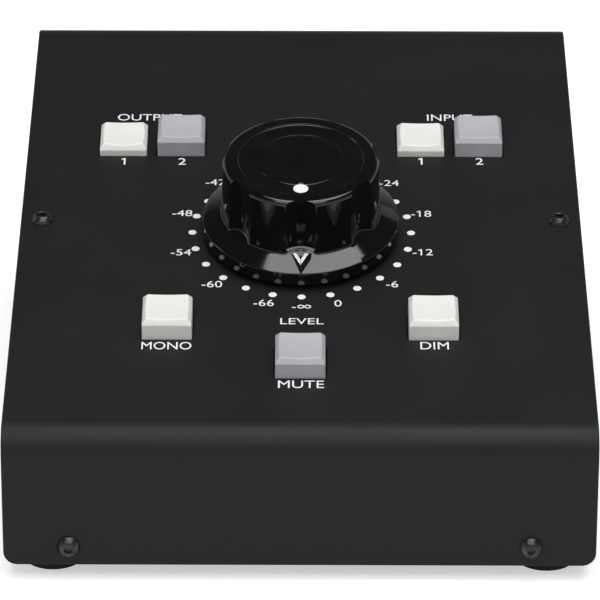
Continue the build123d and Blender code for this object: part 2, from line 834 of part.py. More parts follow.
def make_jack_board():
    """The board that the jacks stand on."""
    middle = Pos(0, jack_board_rear - jack_board_depth / 2, jack_board_top)
    width = 2 * jack_board_half_width
    board = middle * block(width, jack_board_depth, -board_thickness, 0, board_corner_radius)
    for x, y in jack_pin_spots:
        board -= Pos(x, y, 0) * rod(pin_diameter + 2 * pin_hole_gap, 0, 2 * jack_board_top)
    return board


# ------------------------------------------------------------------ ribbon cable
def box_header():
    """A shrouded header standing on z = 0."""
    header = block(header_length, header_width, 0, header_height)
    inside = (header_length - 2 * header_wall, header_width - 2 * header_wall)
    return header - block(*inside, header_floor, 2 * header_height)


def ribbon_socket():
    """The socket in a header."""
    length = header_length - 2 * (header_wall + socket_gap)
    width = header_width - 2 * (header_wall + socket_gap)
    return block(length, width, header_floor, header_floor + socket_height)


def header_places():
    """Under the control board, and on the jack board."""
    under_board = on_panel(0, control_header_up, board_underside) * Rot(180, 0, 0)
    on_board = Pos(0, jack_header_y, jack_board_top)
    return [under_board, on_board]


def make_ribbon():
    """The flat cable from one socket to the other, with a shallow loop of slack."""
    reach = header_width / 2 - header_wall - socket_gap
    lift = header_floor + socket_height + ribbon_thickness / 2
    upper, lower = header_places()
    ends = [
        upper * Pos(0, reach, lift),
        upper * Pos(0, -reach - ribbon_run_out, lift),
        lower * Pos(0, -reach - ribbon_run_out, lift),
        lower * Pos(0, reach, lift),
    ]
    points = [(place.position.Y, place.position.Z) for place in ends]
    middle = (points[1][0] + points[2][0]) / 2
    points.insert(2, (middle, points[2][1] - ribbon_slack))
    path = FilletPolyline(*points, radius=ribbon_bend_radius)
    strip = trace(path, ribbon_thickness)
    return extrude(Plane.YZ * strip, ribbon_width / 2, both=True)


# ------------------------------------------------------------------ writing
def finished(shape):
    """Stand a shape, or a list of them as separate solids, on the feet and centre it over the origin."""
    shapes = shape if isinstance(shape, list) else [shape]
    home = Pos(0, -assembly_middle_y, foot_height)
    solids = [home * solid for piece in shapes for solid in piece.solids()]
    return solids[0] if len(solids) == 1 else Compound(children=solids)


def case_parts():
    """Cover, tray, feet and the fasteners that join them."""
    screw = button_head_screw(case_screw_length)
    nut = clinch_nut()
    upright = Rot(180, 0, 0)
    nuts = [place * Pos(0, 0, -tray_inset) * nut for place in case_screw_places]
    nuts += [place * upright * nut for place in foot_places]
    foot_seat = Pos(0, 0, foot_recess_depth - foot_height)
    return {
        "cover": make_cover(),
        "base_tray": make_tray(),
        "case_screws": [place * screw for place in case_screw_places],
        "clinch_nuts": nuts,
        "rubber_feet": [place * rubber_foot() for place in foot_places],
        "foot_screws": [
            place * foot_seat * upright * pan_head_screw(foot_screw_length) for place in foot_places
        ],
    }


def button_parts():
    """Cap, stem and switch housing of each button; a latched button is stored pressed in."""
    cap = make_cap()
    plunger = make_plunger()
    switch = make_switch_body()
    parts = {}
    for name, (x, up, latched) in buttons.items():
        pressed = on_panel(x, up, -latch_depth if latched else 0.0)
        parts[f"cap_{name}"] = pressed * cap
        parts[f"plunger_{name}"] = pressed * plunger
        parts[f"switch_{name}"] = on_panel(x, up) * switch
    return parts


def board_parts():
    """The control board with what holds it up and the switches' pins."""
    screw = Pos(0, 0, board_underside) * Rot(180, 0, 0) * pan_head_screw(board_screw_length)
    return {
        "control_board": make_control_board(),
        "board_standoffs": [place * standoff() for place in standoff_places],
        "board_screws": [place * screw for place in standoff_places],
        "switch_pins": [on_panel(x, up) * solder_pin(board_top) for x, up in board_pin_spots],
    }


def attenuator_parts():
    """The stepped attenuator from the nut above the top to its back plate."""
    washer_top = panel_washer_thickness
    nut_top = washer_top + panel_nut_thickness
    bore = bushing_diameter + 2 * thread_gap
    nut_bore = rod(bore, 0, 2 * nut_top)
    upper, lower = wafer_tops
    return {
        "attenuator_bushing": make_bushing(),
        "attenuator_washer": tube(panel_washer_diameter, bore, 0, washer_top),
        "attenuator_nut": hexagon(panel_nut_size, washer_top, nut_top) - nut_bore,
        "detent_housing": make_detent_housing(),
        "detent_wheel": make_detent_wheel(),
        "detent_balls": [spot * Sphere(detent_ball_diameter / 2) for spot in ball_spots()],
        "detent_spring": make_detent_spring(),
        "wafer_upper": make_wafer(upper),
        "wafer_lower": make_wafer(lower),
        "wafer_rotors": [make_rotor(top) for top in wafer_tops],
        "ladder_resistors": ladder_resistors(),
        "wafer_spacers": wafer_spacers(),
        "clamp_bolts": [spot * make_clamp_bolt() for spot in bolt_spots()],
        "attenuator_back_plate": make_back_plate(),
        "attenuator_shaft": make_shaft(),
        "attenuator_leads": attenuator_leads(),
    }


def knob_parts():
    """The knob and what is let into it."""
    return {
        "knob": make_knob(),
        "knob_bush": make_knob_bush(),
        "knob_disc": make_knob_disc(),
        "knob_dot": make_knob_dot(),
        "knob_set_screw": make_set_screw(),
    }


def rear_parts():
    """The jacks on their board, and the ribbon cable to the control board."""
    pin = solder_pin(jack_board_top)
    return {
        "jack_bodies": [place * make_jack() for place in jack_places],
        "jack_washers": [place * jack_washer() for place in jack_places],
        "jack_nuts": [place * jack_nut() for place in jack_places],
        "jack_board": make_jack_board(),
        "jack_pins": [Pos(x, y, 0) * pin for x, y in jack_pin_spots],
        "ribbon_headers": [place * box_header() for place in header_places()],
        "ribbon_sockets": [place * ribbon_socket() for place in header_places()],
        "ribbon_cable": make_ribbon(),
    }


def placed(place, parts):
    """Every part, or list of parts, moved to a place."""
    return {
        name: [place * piece for piece in shape] if isinstance(shape, list) else place * shape
        for name, shape in parts.items()
    }


def main():
    parts = case_parts() | button_parts() | board_parts() | rear_parts()
    parts |= placed(dial, attenuator_parts() | knob_parts())
    os.makedirs("parts", exist_ok=True)
    for name, shape in parts.items():
        export_step(finished(shape), f"parts/{name}.step")


if __name__ == "__main__":
    main()
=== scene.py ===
"""Looks of a desktop monitor controller: painted case, moulded knob and caps, printed dial, rear jacks."""

import json
import math

import bmesh
import bpy
from bpy.props import FloatProperty, FloatVectorProperty, IntProperty, PointerProperty
from mathutils import Matrix, Vector


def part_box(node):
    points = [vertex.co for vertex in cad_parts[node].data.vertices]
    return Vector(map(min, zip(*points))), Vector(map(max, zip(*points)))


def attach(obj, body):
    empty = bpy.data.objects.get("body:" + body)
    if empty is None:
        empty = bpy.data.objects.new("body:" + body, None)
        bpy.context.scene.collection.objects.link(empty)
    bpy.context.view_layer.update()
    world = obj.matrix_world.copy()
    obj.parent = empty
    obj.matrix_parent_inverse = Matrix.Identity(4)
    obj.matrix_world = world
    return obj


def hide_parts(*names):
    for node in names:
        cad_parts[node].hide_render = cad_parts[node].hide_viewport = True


bl_info = {
    "name": "Monitor Controller Looks",
    "version": (1, 0, 0),
    "blender": (4, 5, 0),
    "location": "View3D > Sidebar > Controller",
    "description": "Dresses a desktop monitor controller in paint, mouldings, print and metal",
    "category": "Object",
}

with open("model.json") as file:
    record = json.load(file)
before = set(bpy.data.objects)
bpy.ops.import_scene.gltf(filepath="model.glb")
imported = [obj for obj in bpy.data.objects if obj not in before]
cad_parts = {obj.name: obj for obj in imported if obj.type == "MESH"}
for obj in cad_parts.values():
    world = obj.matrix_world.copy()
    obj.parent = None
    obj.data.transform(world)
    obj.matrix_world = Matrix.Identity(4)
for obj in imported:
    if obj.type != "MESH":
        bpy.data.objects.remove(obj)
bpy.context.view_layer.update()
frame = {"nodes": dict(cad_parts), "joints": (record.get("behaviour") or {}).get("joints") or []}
nodes = frame["nodes"]

MM = 0.001
BUTTONS = ("output_1", "output_2", "input_1", "input_2", "mono", "dim", "mute")
WHITE_BUTTONS = ("output_1", "input_1", "mono", "dim")


# ------------------------------------------------------------------ colours, places and measures
def colour(code):
    """A colour written as sRGB hex, as the linear colour that a shader takes."""
    values = [int(code[n : n + 2], 16) / 255 for n in (1, 3, 5)]
    linear = [v / 12.92 if v <= 0.04045 else ((v + 0.055) / 1.055) ** 2.4 for v in values]
    return (*linear, 1.0)


def panel_frame():
    """Places on the sloping top in millimetres: across, up the slope and above it, from the dial's middle."""
    level = next(joint for joint in frame["joints"] if joint["name"] == "level_knob")
    normal = -Vector(level["axis"]).normalized()
    across = Vector((1, 0, 0))
    turn = Matrix((across, normal.cross(across), normal)).transposed().to_4x4()
    return Matrix.Translation(level["pos_m"]) @ turn @ Matrix.Scale(MM, 4)


PANEL = panel_frame()
WORLD_MM = Matrix.Scale(MM, 4)


def extent(node, place):
    """The lowest and highest corners of a node, measured along a place's own axes."""
    back = place.inverted()
    points = [back @ vertex.co for vertex in nodes[node].data.vertices]
    low = Vector(min(point[axis] for point in points) for axis in range(3))
    high = Vector(max(point[axis] for point in points) for axis in range(3))
    return low, high


KNOB_LOW, KNOB_HIGH = extent("knob", PANEL)
CAP_LOW, CAP_HIGH = extent("cap_mute", PANEL)
FOOT_LOW, FOOT_HIGH = extent("rubber_feet", WORLD_MM)


# ------------------------------------------------------------------ sizes and colours for the user
def length(name, description, default, lowest=0.0):
    """A length in millimetres, shown as a plain number."""
    return FloatProperty(name=name, description=description + ", in mm", default=default, min=lowest)


def factor(name, description, default):
    """A plain number."""
    return FloatProperty(name=name, description=description, default=default, min=0.0)


def slope(name, description, degrees):
    """An angle, kept in radians and shown in degrees."""
    return FloatProperty(
        name=name, description=description, default=math.radians(degrees), subtype="ANGLE"
    )


def vector(name, description, default, subtype="DIRECTION"):
    """A direction, or a place in metres."""
    return FloatVectorProperty(name=name, description=description, default=default, subtype=subtype)


def tint(name, description, code):
    """A colour, written as sRGB hex."""
    return FloatVectorProperty(
        name=name, description=description, default=colour(code), subtype="COLOR", size=4, min=0, max=1
    )


class KnobSizes(bpy.types.PropertyGroup):
    """The moulded knob and what is let into it."""

    flutes: IntProperty(name="Flutes", description="Finger flutes round the grip", default=7, min=3)
    base_diameter: length("Grip at its foot", "Grip diameter where it meets the skirt", 40.8)
    top_diameter: length("Grip at its top", "Grip diameter at the top", 40.0)
    flute_radius: length("Flute radius", "Radius of a flute's hollow", 6.1)
    flute_depth: length("Flute depth", "How far a flute cuts into the grip", 1.8)
    lip_radius: length("Lip radius", "Radius where a flute rolls out to the grip", 1.6)
    edge_radius: length("Top edge", "Radius of the grip's top edge", 1.5)
    flute_top_depth: length("Flute end", "How far a flute cuts in where it ends at the top edge", 1.25)
    foot_radius: length("Foot fillet", "Radius where the grip meets the skirt", 0.35)
    rim_top: length("Rim height", "Top of the skirt's upright rim above the panel", 5.0)
    rim_radius: length("Rim edge", "Radius of the skirt's edge", 0.35)
    cone_angle: slope("Skirt slope", "Slope of the skirt", 26.4)
    ring_diameter: length("Sunk ring", "Diameter of the sunk top", 32.2)
    ring_depth: length("Sunk depth", "Depth of the sunk top", 0.4)
    disc_diameter: length("Disc", "Diameter of the disc let into the top", 22.6)
    disc_thickness: length("Disc thickness", "Thickness of the disc", 1.2)
    disc_sink: length("Disc sink", "How far the disc lies under the sunk ring", 0.02)
    dot_diameter: length("Dot", "Diameter of the white dot", 3.85)
    dot_radius: length("Dot place", "Distance of the dot from the knob's axis", 12.8)
    dot_depth: length("Dot depth", "How far the dot is let in", 1.5)
    wedge_back: length("Wedge", "Distance from the axis at which the sunk wedge's floor begins", 19.6)
    wedge_width: length("Wedge width", "Width of the wedge's floor at its back", 4.5)
    wedge_length: length("Wedge length", "Length of the wedge's floor, seen from above", 4.65)
    wedge_depth: length("Wedge depth", "Depth of the wedge's floor at its back", 0.3)
    wedge_bow: length("Wedge bow", "How far the wedge's back edge bows out in the middle", 0.3)
    wedge_angle: slope("Wedge slope", "Slope of the wedge's floor", 34)
    mark_width: length("Mark width", "Half the width of the pointer's mark", 2.05)
    mark_stroke: length("Mark stroke", "Width of a stroke of the mark, across the knob", 0.95)
    mark_back: length("Mark back", "Distance of the mark's open end from the axis", 19.65)
    mark_tip: length("Mark tip", "Distance of the mark's tip from the axis", 22.3)
    skirt_hollow: length("Skirt hollow", "Diameter of the hollow under the skirt", 47.0)
    skirt_hollow_top: length("Skirt hollow top", "Top of the hollow under the skirt", 3.4)
    hollow: length("Hollow", "Diameter of the hollow under the grip", 31.0)
    hollow_top: length("Hollow top", "Top of the hollow under the grip", 19.0)
    boss: length("Boss", "Diameter of the boss round the shaft", 15.0)
    boss_low: length("Boss foot", "Underside of the boss", 5.2)
    bush: length("Bush", "Diameter of the metal bush's seat", 10.04)
    set_screw: length("Set screw", "Diameter of the set screw's hole", 4.1)
    set_screw_height: length("Set screw height", "Height of the set screw", 12.0)
    moulding: tint("Knob", "Colour of the moulded knob", "#0D0D0F")
    mark: tint("Marks", "Colour of the dot and the pointer's mark", "#F0F0EE")


class CapSizes(bpy.types.PropertyGroup):
    """The square push-button caps."""

    shoulder: length("Shoulder", "Height of the straight sides above the panel, raised", 4.0)
    bevel_inset: length("Bevel inset", "How far the bevel runs in", 1.1)
    bevel_rise: length("Bevel rise", "How far the bevel runs up", 1.55)
    dish_depth: length("Dish", "Depth of the hollow top in its middle", 0.6)
    taper: length("Taper", "How much narrower the shoulder is than the middle height", 0.05)
    corner_radius: length("Corner radius", "Radius of the upright edges", 0.5)
    shoulder_radius: length("Shoulder edge", "Radius of the edge under the bevel", 0.3)
    top_radius: length("Top edge", "Radius of the edge over the bevel", 0.45)
    wall: length("Wall", "Thickness of the sides", 1.2)
    roof: length("Roof", "Underside of the roof, raised", 2.4)
    boss: length("Boss", "Width of the boss round the stem", 5.0)
    boss_low: length("Boss foot", "Underside of the boss, raised", -0.5, -9.0)
    socket: length("Socket", "Width of the stem's socket", 3.04)
    white: tint("White caps", "Colour of the white caps", "#E3E2DE")
    grey: tint("Grey caps", "Colour of the grey caps", "#B0B0B6")


class CaseSizes(bpy.types.PropertyGroup):
    """Paint, screws and feet of the case."""

    paint: tint("Paint", "Colour of the powder coat", "#151517")
    head_diameter: length("Screw head", "Diameter of a button head", 5.7)
    head_height: length("Head height", "Height of a button head", 1.65)
    socket_size: length("Socket", "Width of the hexagon socket across its flats", 2.0)
    thread_diameter: length("Thread", "Diameter of the screws' thread", 3.0)
    thread_pitch: length("Thread pitch", "Pitch of the screws' thread", 0.5)
    screw_length: length("Screw length", "Length of a screw under its head", 6.0)
    foot_recess: length("Foot recess", "Diameter of the screw's recess in a foot", 7.5)
    foot_recess_depth: length("Recess depth", "Depth of the screw's recess in a foot", 2.4)
    foot_hole: length("Foot hole", "Diameter of the screw's hole in a foot", 3.4)
    foot_width: length("Foot", "Diameter of a foot at its top", 15.5)
    foot_tip: length("Foot tip", "Diameter of a foot where it stands", 14.5)
    top_screw_x: length("Top screws across", "Distance of the top screws from the middle", 66.9)
    top_screw_up: length("Top screws up", "Distance of the top screws up from the dial's middle", 5.7)
    end_screw_x: length("End screws across", "Distance of the front and rear screws from the middle", 56.5)
    end_screw_z: length("End screws height", "Height of the front and rear screws", 9.2)
    foot_x: length("Feet across", "Distance of the feet from the middle", 60.85)
    foot_inset: length("Feet inset", "Distance of the feet from the front and rear faces", 13.0)


class DialSizes(bpy.types.PropertyGroup):
    """What is printed on the sloping top."""

    dots: IntProperty(name="Dots", description="Positions of the level dial", default=24, min=2)
    ring_radius: length("Dot circle", "Radius of the circle of dots", 28.2)
    dot_diameter: length("Dot", "Diameter of a dot", 2.05)
    label_radius: length("Number circle", "Radius at which the numbers stand", 32.2)
    shift: length("Shift", "How far the dial's print stands to the right of the knob's axis", 0.27)
    figure_height: length("Figures", "Height of a printed figure", 2.65)
    button_figure_height: length("Button figures", "Height of the figures at the buttons", 3.0)
    word_height: length("Words", "Height of the printed words", 3.0)
    small_height: length("Small words", "Height of the word at the dial", 2.5)
    stretch: factor("Stretch", "How much wider than their font the figures are", 1.07)
    ink_depth: length("Ink", "Thickness of the printed ink", 0.03)
    ink: tint("Ink colour", "Colour of the print", "#EAEAEE")


class RearSizes(bpy.types.PropertyGroup):
    """Nuts and washers of the rear jacks."""

    nut_size: length("Nut", "Width of a jack's nut across its flats", 12.7)
    nut_height: length("Nut height", "Height of a jack's nut", 2.0)
    bore: length("Bore", "Diameter of the nut's and washer's bore", 9.5)
    washer_diameter: length("Washer", "Diameter of a jack's washer", 13.0)
    washer_height: length("Washer height", "Thickness of a jack's washer", 0.5)
    jacks: IntProperty(name="Jacks", description="Jacks in the rear wall", default=8, min=1)
    pitch: length("Pitch", "Distance between neighbouring jacks", 16.5)
    height: length("Jack height", "Height of the jacks' axis", 32.3)


class StageSizes(bpy.types.PropertyGroup):
    """Camera, lamps, room and floor."""

    camera_place: vector(
        "Camera", "Where the camera stands", (0.000398, -1.013533, 0.463153), "TRANSLATION"
    )
    camera_right: vector(
        "Camera right", "Direction to the camera's right", (0.9999959, 0.00154627, 0.00241218)
    )
    camera_up: vector(
        "Camera up", "Direction to the camera's top", (-0.00282358, 0.38878552, 0.92132396)
    )
    lens: factor("Lens", "Focal length on a 36 mm sensor, in mm", 251.59)
    light: factor("Light", "How bright the lamps are, as a share of their power", 1.0)
    room_front: factor("Room in front", "Brightness of the room in front of the object", 0.66)
    room_behind: factor("Room behind", "Brightness of the room behind the object", 0.1)
    gloss_low: factor("Gloss of the walls", "Brightness of the room near the floor, in gloss", 0.6)
    gloss_high: factor("Gloss of the ceiling", "Brightness of the room overhead, in gloss", 0.05)
    floor_glow: factor("Floor in gloss", "How much the floor is lifted in gloss and to the camera", 0.06)
    floor_lift: factor("Floor", "How much more the floor is lifted to the camera", 0.46)
    floor: tint("Floor colour", "Colour of the floor", "#E0E0E0")


# each lamp's place, what it looks at and its width and height, in metres, and its power in watts
LAMPS = {
    "softbox": ((0.135, -0.16, 1.1), (0.135, 0.0, 0.03), (0.95, 0.58), 6.8),
    "front_card": ((0.0, -0.85, 0.95), (0.0, -0.05, 0.05), (1.2, 0.42), 4.6),
    "rear_strip": ((0.3, 1.3, 0.9), (0.0, 0.0, 0.05), (1.2, 0.25), 0.3),
    "side_card": ((-1.2, 0.2, 0.7), (0.0, 0.0, 0.05), (0.3, 0.7), 1.0),
}
# the way in which the room is brightest, and between which shares of it a ray's light grows
ROOM_FRONT = (0.0, -0.85, 0.53)
FRONT_FROM, FRONT_TO = -0.3, 1.0
# in gloss, the room dims between these two rises of a ray
DIM_FROM, DIM_TO = 0.1, 0.5
# half the floor's width, in metres
FLOOR_REACH = 6.0


# ------------------------------------------------------------------ nodes and materials
def add(tree, kind, fields=(), inputs=()):
    """Add a node with its settings; an input is given a value or the socket that feeds it."""
    node = tree.nodes.new(kind)
    for field, value in dict(fields).items():
        setattr(node, field, value)
    for socket, value in dict(inputs).items():
        if isinstance(value, bpy.types.NodeSocket):
            tree.links.new(value, node.inputs[socket])
        else:
            node.inputs[socket].default_value = value
    return node


def calculated(tree, operation, *values):
    """The outcome of one sum."""
    return add(tree, "ShaderNodeMath", {"operation": operation}, dict(enumerate(values))).outputs[0]


def remapped(tree, value, start, end, low, high):
    """A value between start and end, stretched onto low to high."""
    given = dict(enumerate((value, start, end, low, high)))
    return add(tree, "ShaderNodeMapRange", inputs=given).outputs[0]


def averaged(tree, share, first, second):
    """A number between two others."""
    given = {0: share, 2: first, 3: second}
    return add(tree, "ShaderNodeMix", {"data_type": "FLOAT"}, given).outputs[0]


def mixed(tree, share, first, second):
    """A colour between two others."""
    given = {0: share, 6: first, 7: second}
    return add(tree, "ShaderNodeMix", {"data_type": "RGBA"}, given).outputs[2]


def noise(tree, coordinates, size, detail):
    """Noise whose patches have a size in millimetres."""
    given = {"Vector": coordinates, "Scale": 1 / (size * MM), "Detail": detail}
    return add(tree, "ShaderNodeTexNoise", inputs=given).outputs[0]


def ribs(tree, coordinates, axis, pitch):
    """Waves that follow each other along an axis at a pitch in millimetres."""
    given = {"Vector": coordinates, "Scale": math.pi / (10 * pitch * MM)}
    return add(tree, "ShaderNodeTexWave", {"bands_direction": axis}, given).outputs[1]


def embossed(tree, height, distance, **given):
    """The normals of a skin that stands up a distance in millimetres where the height is 1."""
    given.update({"Height": height, "Distance": distance * MM})
    return add(tree, "ShaderNodeBump", inputs=given).outputs[0]


def cleared(owner):
    """The node tree of a new material or world, made empty."""
    owner.use_nodes = True
    owner.node_tree.nodes.clear()
    return owner.node_tree


def surface(name, **settings):
    """A new material: its node tree, its shader and the object's own coordinates."""
    material = bpy.data.materials.new(name)
    tree = cleared(material)
    shader = add(tree, "ShaderNodeBsdfPrincipled", inputs=settings)
    add(tree, "ShaderNodeOutputMaterial", inputs={"Surface": shader.outputs[0]})
    coordinates = add(tree, "ShaderNodeTexCoord").outputs["Object"]
    return material, tree, shader, coordinates


def finished(material, shader, paint, gloss, normal):
    """Feed colour, roughness and relief into a material's shader."""
    for socket, source in {"Base Color": paint, "Roughness": gloss, "Normal": normal}.items():
        material.node_tree.links.new(source, shader.inputs[socket])
    return material


def faded(shade, share):
    """A colour with only a share of its brightness."""
    return (*(share * value for value in shade[:3]), 1.0)


def grained(name, light, dark, roughness, patch, grain, relief, stretch=(1, 1, 1), **settings):
    """A surface whose colour and gloss wander over patches, with a finer grain that stands in relief.

    Patch, grain and relief are in millimetres, roughness is its lowest and highest value, and stretch
    makes the grain finer along an axis, as a cutting tool or a die leaves it.
    """
    material, tree, shader, coordinates = surface(name, **settings)
    turned = add(tree, "ShaderNodeMapping", inputs={"Vector": coordinates, "Scale": stretch}).outputs[0]
    grains = noise(tree, turned, grain, 2.0)
    # noise keeps mostly between 0.3 and 0.7
    blend = averaged(tree, 0.4, noise(tree, coordinates, patch, 3.0), grains)
    paint = mixed(tree, remapped(tree, blend, 0.35, 0.65, 0.0, 1.0), dark, light)
    gloss = remapped(tree, blend, 0.3, 0.7, *roughness)
    return finished(material, shader, paint, gloss, embossed(tree, grains, relief))


def powder_coat(paint):
    """Polyester powder coat, baked: a fine orange peel gives the satin black its soft, broken sheen."""
    material, tree, shader, coordinates = surface("powder_coat_satin_black", **{"Specular IOR Level": 0.3})
    # the peel is about 0.5 mm from crest to crest, with grit of 0.16 mm in it
    peel, grit = noise(tree, coordinates, 0.5, 1.0), noise(tree, coordinates, 0.16, 1.0)
    cloud = noise(tree, coordinates, 30, 2.0)
    shade = remapped(tree, averaged(tree, 0.5, grit, cloud), 0.3, 0.7, 0.82, 1.18)
    tone = add(tree, "ShaderNodeVectorMath", {"operation": "SCALE"}, {0: paint[:3], 3: shade}).outputs[0]
    gloss = remapped(tree, cloud, 0.3, 0.7, 0.47, 0.55)
    bumps = embossed(tree, grit, 0.012, Normal=embossed(tree, peel, 0.02))
    return finished(material, shader, tone, gloss, bumps)


def threaded(name, axis, pitch=0.75):
    """Free-cutting brass, nickel plated: warm grey, with a fine thread's rings across an axis."""
    material, tree, shader, coordinates = surface(name, Metallic=1.0)
    wear = noise(tree, coordinates, 1.5, 3.0)
    tone = mixed(tree, wear, colour("#A8A49B"), colour("#C9C5BC"))
    gloss = remapped(tree, wear, 0.0, 1.0, 0.2, 0.42)
    bumps = embossed(tree, ribs(tree, coordinates, axis, pitch), 0.15)
    return finished(material, shader, tone, gloss, bumps)


def circuit_board():
    """Glass-epoxy board under green solder mask, with tracks that show lighter and stand a little proud."""
    coat = {"Coat Weight": 0.3, "Coat Roughness": 0.15}
    material, tree, shader, coordinates = surface("circuit_board_green_mask", IOR=1.55, **coat)
    flat = add(tree, "ShaderNodeMapping", inputs={"Vector": coordinates, "Scale": (1, 1, 0.02)}).outputs[0]
    # tracks about 0.6 mm wide run between blocks of 5 by 2.5 mm
    given = {
        "Vector": flat, "Scale": 1 / (5 * MM), "Mortar Size": 0.06, "Mortar Smooth": 0.2,
        "Brick Width": 1.0, "Row Height": 0.5, "Color1": colour("#0E3B22"), "Color2": colour("#11452A"),
        "Mortar": colour("#1F6B40"),
    }
    tracks = add(tree, "ShaderNodeTexBrick", {"offset": 0.5}, given).outputs
    gloss = remapped(tree, noise(tree, coordinates, 0.6, 2.0), 0.0, 1.0, 0.3, 0.5)
    return finished(material, shader, tracks[0], gloss, embossed(tree, tracks[1], 0.035))


def flat_cable(wires=1.27):
    """Grey PVC ribbon: its wires stand as ribs under the jacket, and the first one is red."""
    material, tree, shader, coordinates = surface("ribbon_cable_grey_pvc", IOR=1.53)
    across = add(tree, "ShaderNodeSeparateXYZ", inputs={0: coordinates}).outputs[0]
    dust = noise(tree, coordinates, 2, 2.0)
    first = calculated(tree, "LESS_THAN", across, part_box("ribbon_cable")[0].x + wires * MM)
    jacket = mixed(tree, dust, colour("#8E9093"), colour("#A3A5A8"))
    marked = mixed(tree, first, jacket, colour("#9A2A26"))
    gloss = remapped(tree, dust, 0.0, 1.0, 0.4, 0.55)
    return finished(material, shader, marked, gloss, embossed(tree, ribs(tree, coordinates, "X", wires), 0.3))


# ------------------------------------------------------------------ meshes
def rounded(corners, steps=5):
    """A profile through (across, height, radius) corners, each rounded by its radius."""
    first, last = Vector(corners[0][:2]), Vector(corners[-1][:2])
    profile = [first]
    for before, corner, after in zip(corners, corners[1:], corners[2:]):
        point = Vector(corner[:2])
        radius = corner[2]
        if not radius:
            profile.append(point)
            continue
        back = (Vector(before[:2]) - point).normalized()
        ahead = (Vector(after[:2]) - point).normalized()
        half = back.angle(ahead) / 2
        middle = point + (back + ahead).normalized() * (radius / math.sin(half))
        start = point + back * (radius / math.tan(half)) - middle
        end = point + ahead * (radius / math.tan(half)) - middle
        sweep = math.pi - 2 * half
        for n in range(steps + 1):
            part = sweep * n / steps
            mix = (start * math.sin(sweep - part) + end * math.sin(part)) / math.sin(sweep)
            profile.append(middle + mix)
    return profile + [last]


def skin(rings, closed=True):
    """Points and faces between successive rings of as many points each; the end rings may be one point."""
    points = [point for ring in rings for point in ring]
    faces = []
    start = 0
    for ring, following in zip(rings, rings[1:]):
        after = start + len(ring)
        count = max(len(ring), len(following))
        for n in range(count if closed else count - 1):
            near = [start + n % len(ring), start + (n + 1) % len(ring)]
            far = [after + (n + 1) % len(following), after + n % len(following)]
            faces.append(list(dict.fromkeys(near + far)))
        start = after
    return points, faces


def turned_rings(profile, columns):
    """Rings round the z axis from a (radius, height) profile."""
    rings = []
    for radius, height in profile:
        if radius < 1e-6:
            rings.append([(0.0, 0.0, height)])
            continue
        angles = [math.tau * n / columns for n in range(columns)]
        rings.append([(radius * math.cos(a), radius * math.sin(a), height) for a in angles])
    return rings


def rod_rings(radius, low, high, columns):
    """A closed round rod along the z axis."""
    return turned_rings([(0, low), (radius, low), (radius, high), (0, high)], columns)


def moved(rings, place):
    """Rings moved to a place."""
    return [[place @ Vector(point) for point in ring] for ring in rings]


def piece(name, rings, place, material, sharp=30.0):
    """A closed piece from its rings, put in its place, with its edges sharp over an angle in degrees."""
    return joined(name, [skin(rings)], place, material, sharp)


def joined(name, parts, place, material, sharp=30.0):
    """Several lots of points and faces as one piece."""
    return shown(name, meshed(name, parts, place), material, sharp)


def meshed(name, parts, place):
    """Lots of points and faces as one mesh in its place, with doubles merged and faces outwards."""
    points, faces = [], []
    for some_points, some_faces in parts:
        faces += [[n + len(points) for n in face] for face in some_faces]
        points += some_points
    mesh = bpy.data.meshes.new(name)
    mesh.from_pydata([place @ Vector(point) for point in points], [], faces)
    return cleaned(mesh)


def cleaned(mesh):
    """The mesh with its doubles merged and its faces turned outwards."""
    work = bmesh.new()
    work.from_mesh(mesh)
    bmesh.ops.remove_doubles(work, verts=work.verts, dist=0.0005 * MM)
    bmesh.ops.recalc_face_normals(work, faces=work.faces)
    work.to_mesh(mesh)
    work.free()
    return mesh


def shown(name, mesh, material, sharp=30.0):
    """Put a mesh into the scene, shaded smooth between edges that are sharp over an angle in degrees."""
    mesh.shade_smooth()
    mesh.set_sharp_from_angle(angle=math.radians(sharp))
    mesh.materials.clear()
    mesh.materials.append(material)
    return evened(linked(name, mesh))


def linked(name, data):
    """A new object in the scene."""
    made = bpy.data.objects.new(name, data)
    bpy.context.scene.collection.objects.link(made)
    return made


def evened(made):
    """Let the large faces of a piece set its normals, so that flats stay flat beside small radii."""
    made.modifiers.new("even", "WEIGHTED_NORMAL").keep_sharp = True
    return baked(made)


def settle(made, body, slot, *replaced):
    """Let a finished piece ride on its body and stand for the nodes that it replaces."""
    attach(made, body)
    if replaced:
        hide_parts(*replaced)


def dress(node, material):
    """Give a carried-over node another material."""
    mesh = nodes[node].data
    mesh.materials.clear()
    mesh.materials.append(material)


def dressed_copy(name, node, materials, choose):
    """A welded copy of a node whose faces take one of several materials by where they are."""
    made = shown(name, cleaned(nodes[node].data.copy()), materials[0])
    for material in materials[1:]:
        made.data.materials.append(material)
    for polygon in made.data.polygons:
        polygon.material_index = choose(polygon.center / MM)
    return made


def baked(made):
    """Turn a piece with its modifiers into one plain mesh."""
    graph = bpy.context.evaluated_depsgraph_get()
    result = bpy.data.meshes.new_from_object(made.evaluated_get(graph), depsgraph=graph)
    made.modifiers.clear()
    made.data = result
    return made


def discard(*objects):
    """Remove helper objects that aren't pieces."""
    for spare in objects:
        bpy.data.objects.remove(spare)


# ------------------------------------------------------------------ geometry node trees
def new_tree(name, **sockets):
    """A geometry node tree that is given a mesh, a material and other things: the tree and its inputs."""
    tree = bpy.data.node_groups.new(name, "GeometryNodeTree")
    tree.interface.new_socket("Geometry", in_out="OUTPUT", socket_type="NodeSocketGeometry")
    for label, kind in {"Geometry": "Geometry", **sockets, "Material": "Material"}.items():
        tree.interface.new_socket(label, in_out="INPUT", socket_type=f"NodeSocket{kind}")
    return tree, add(tree, "NodeGroupInput").outputs


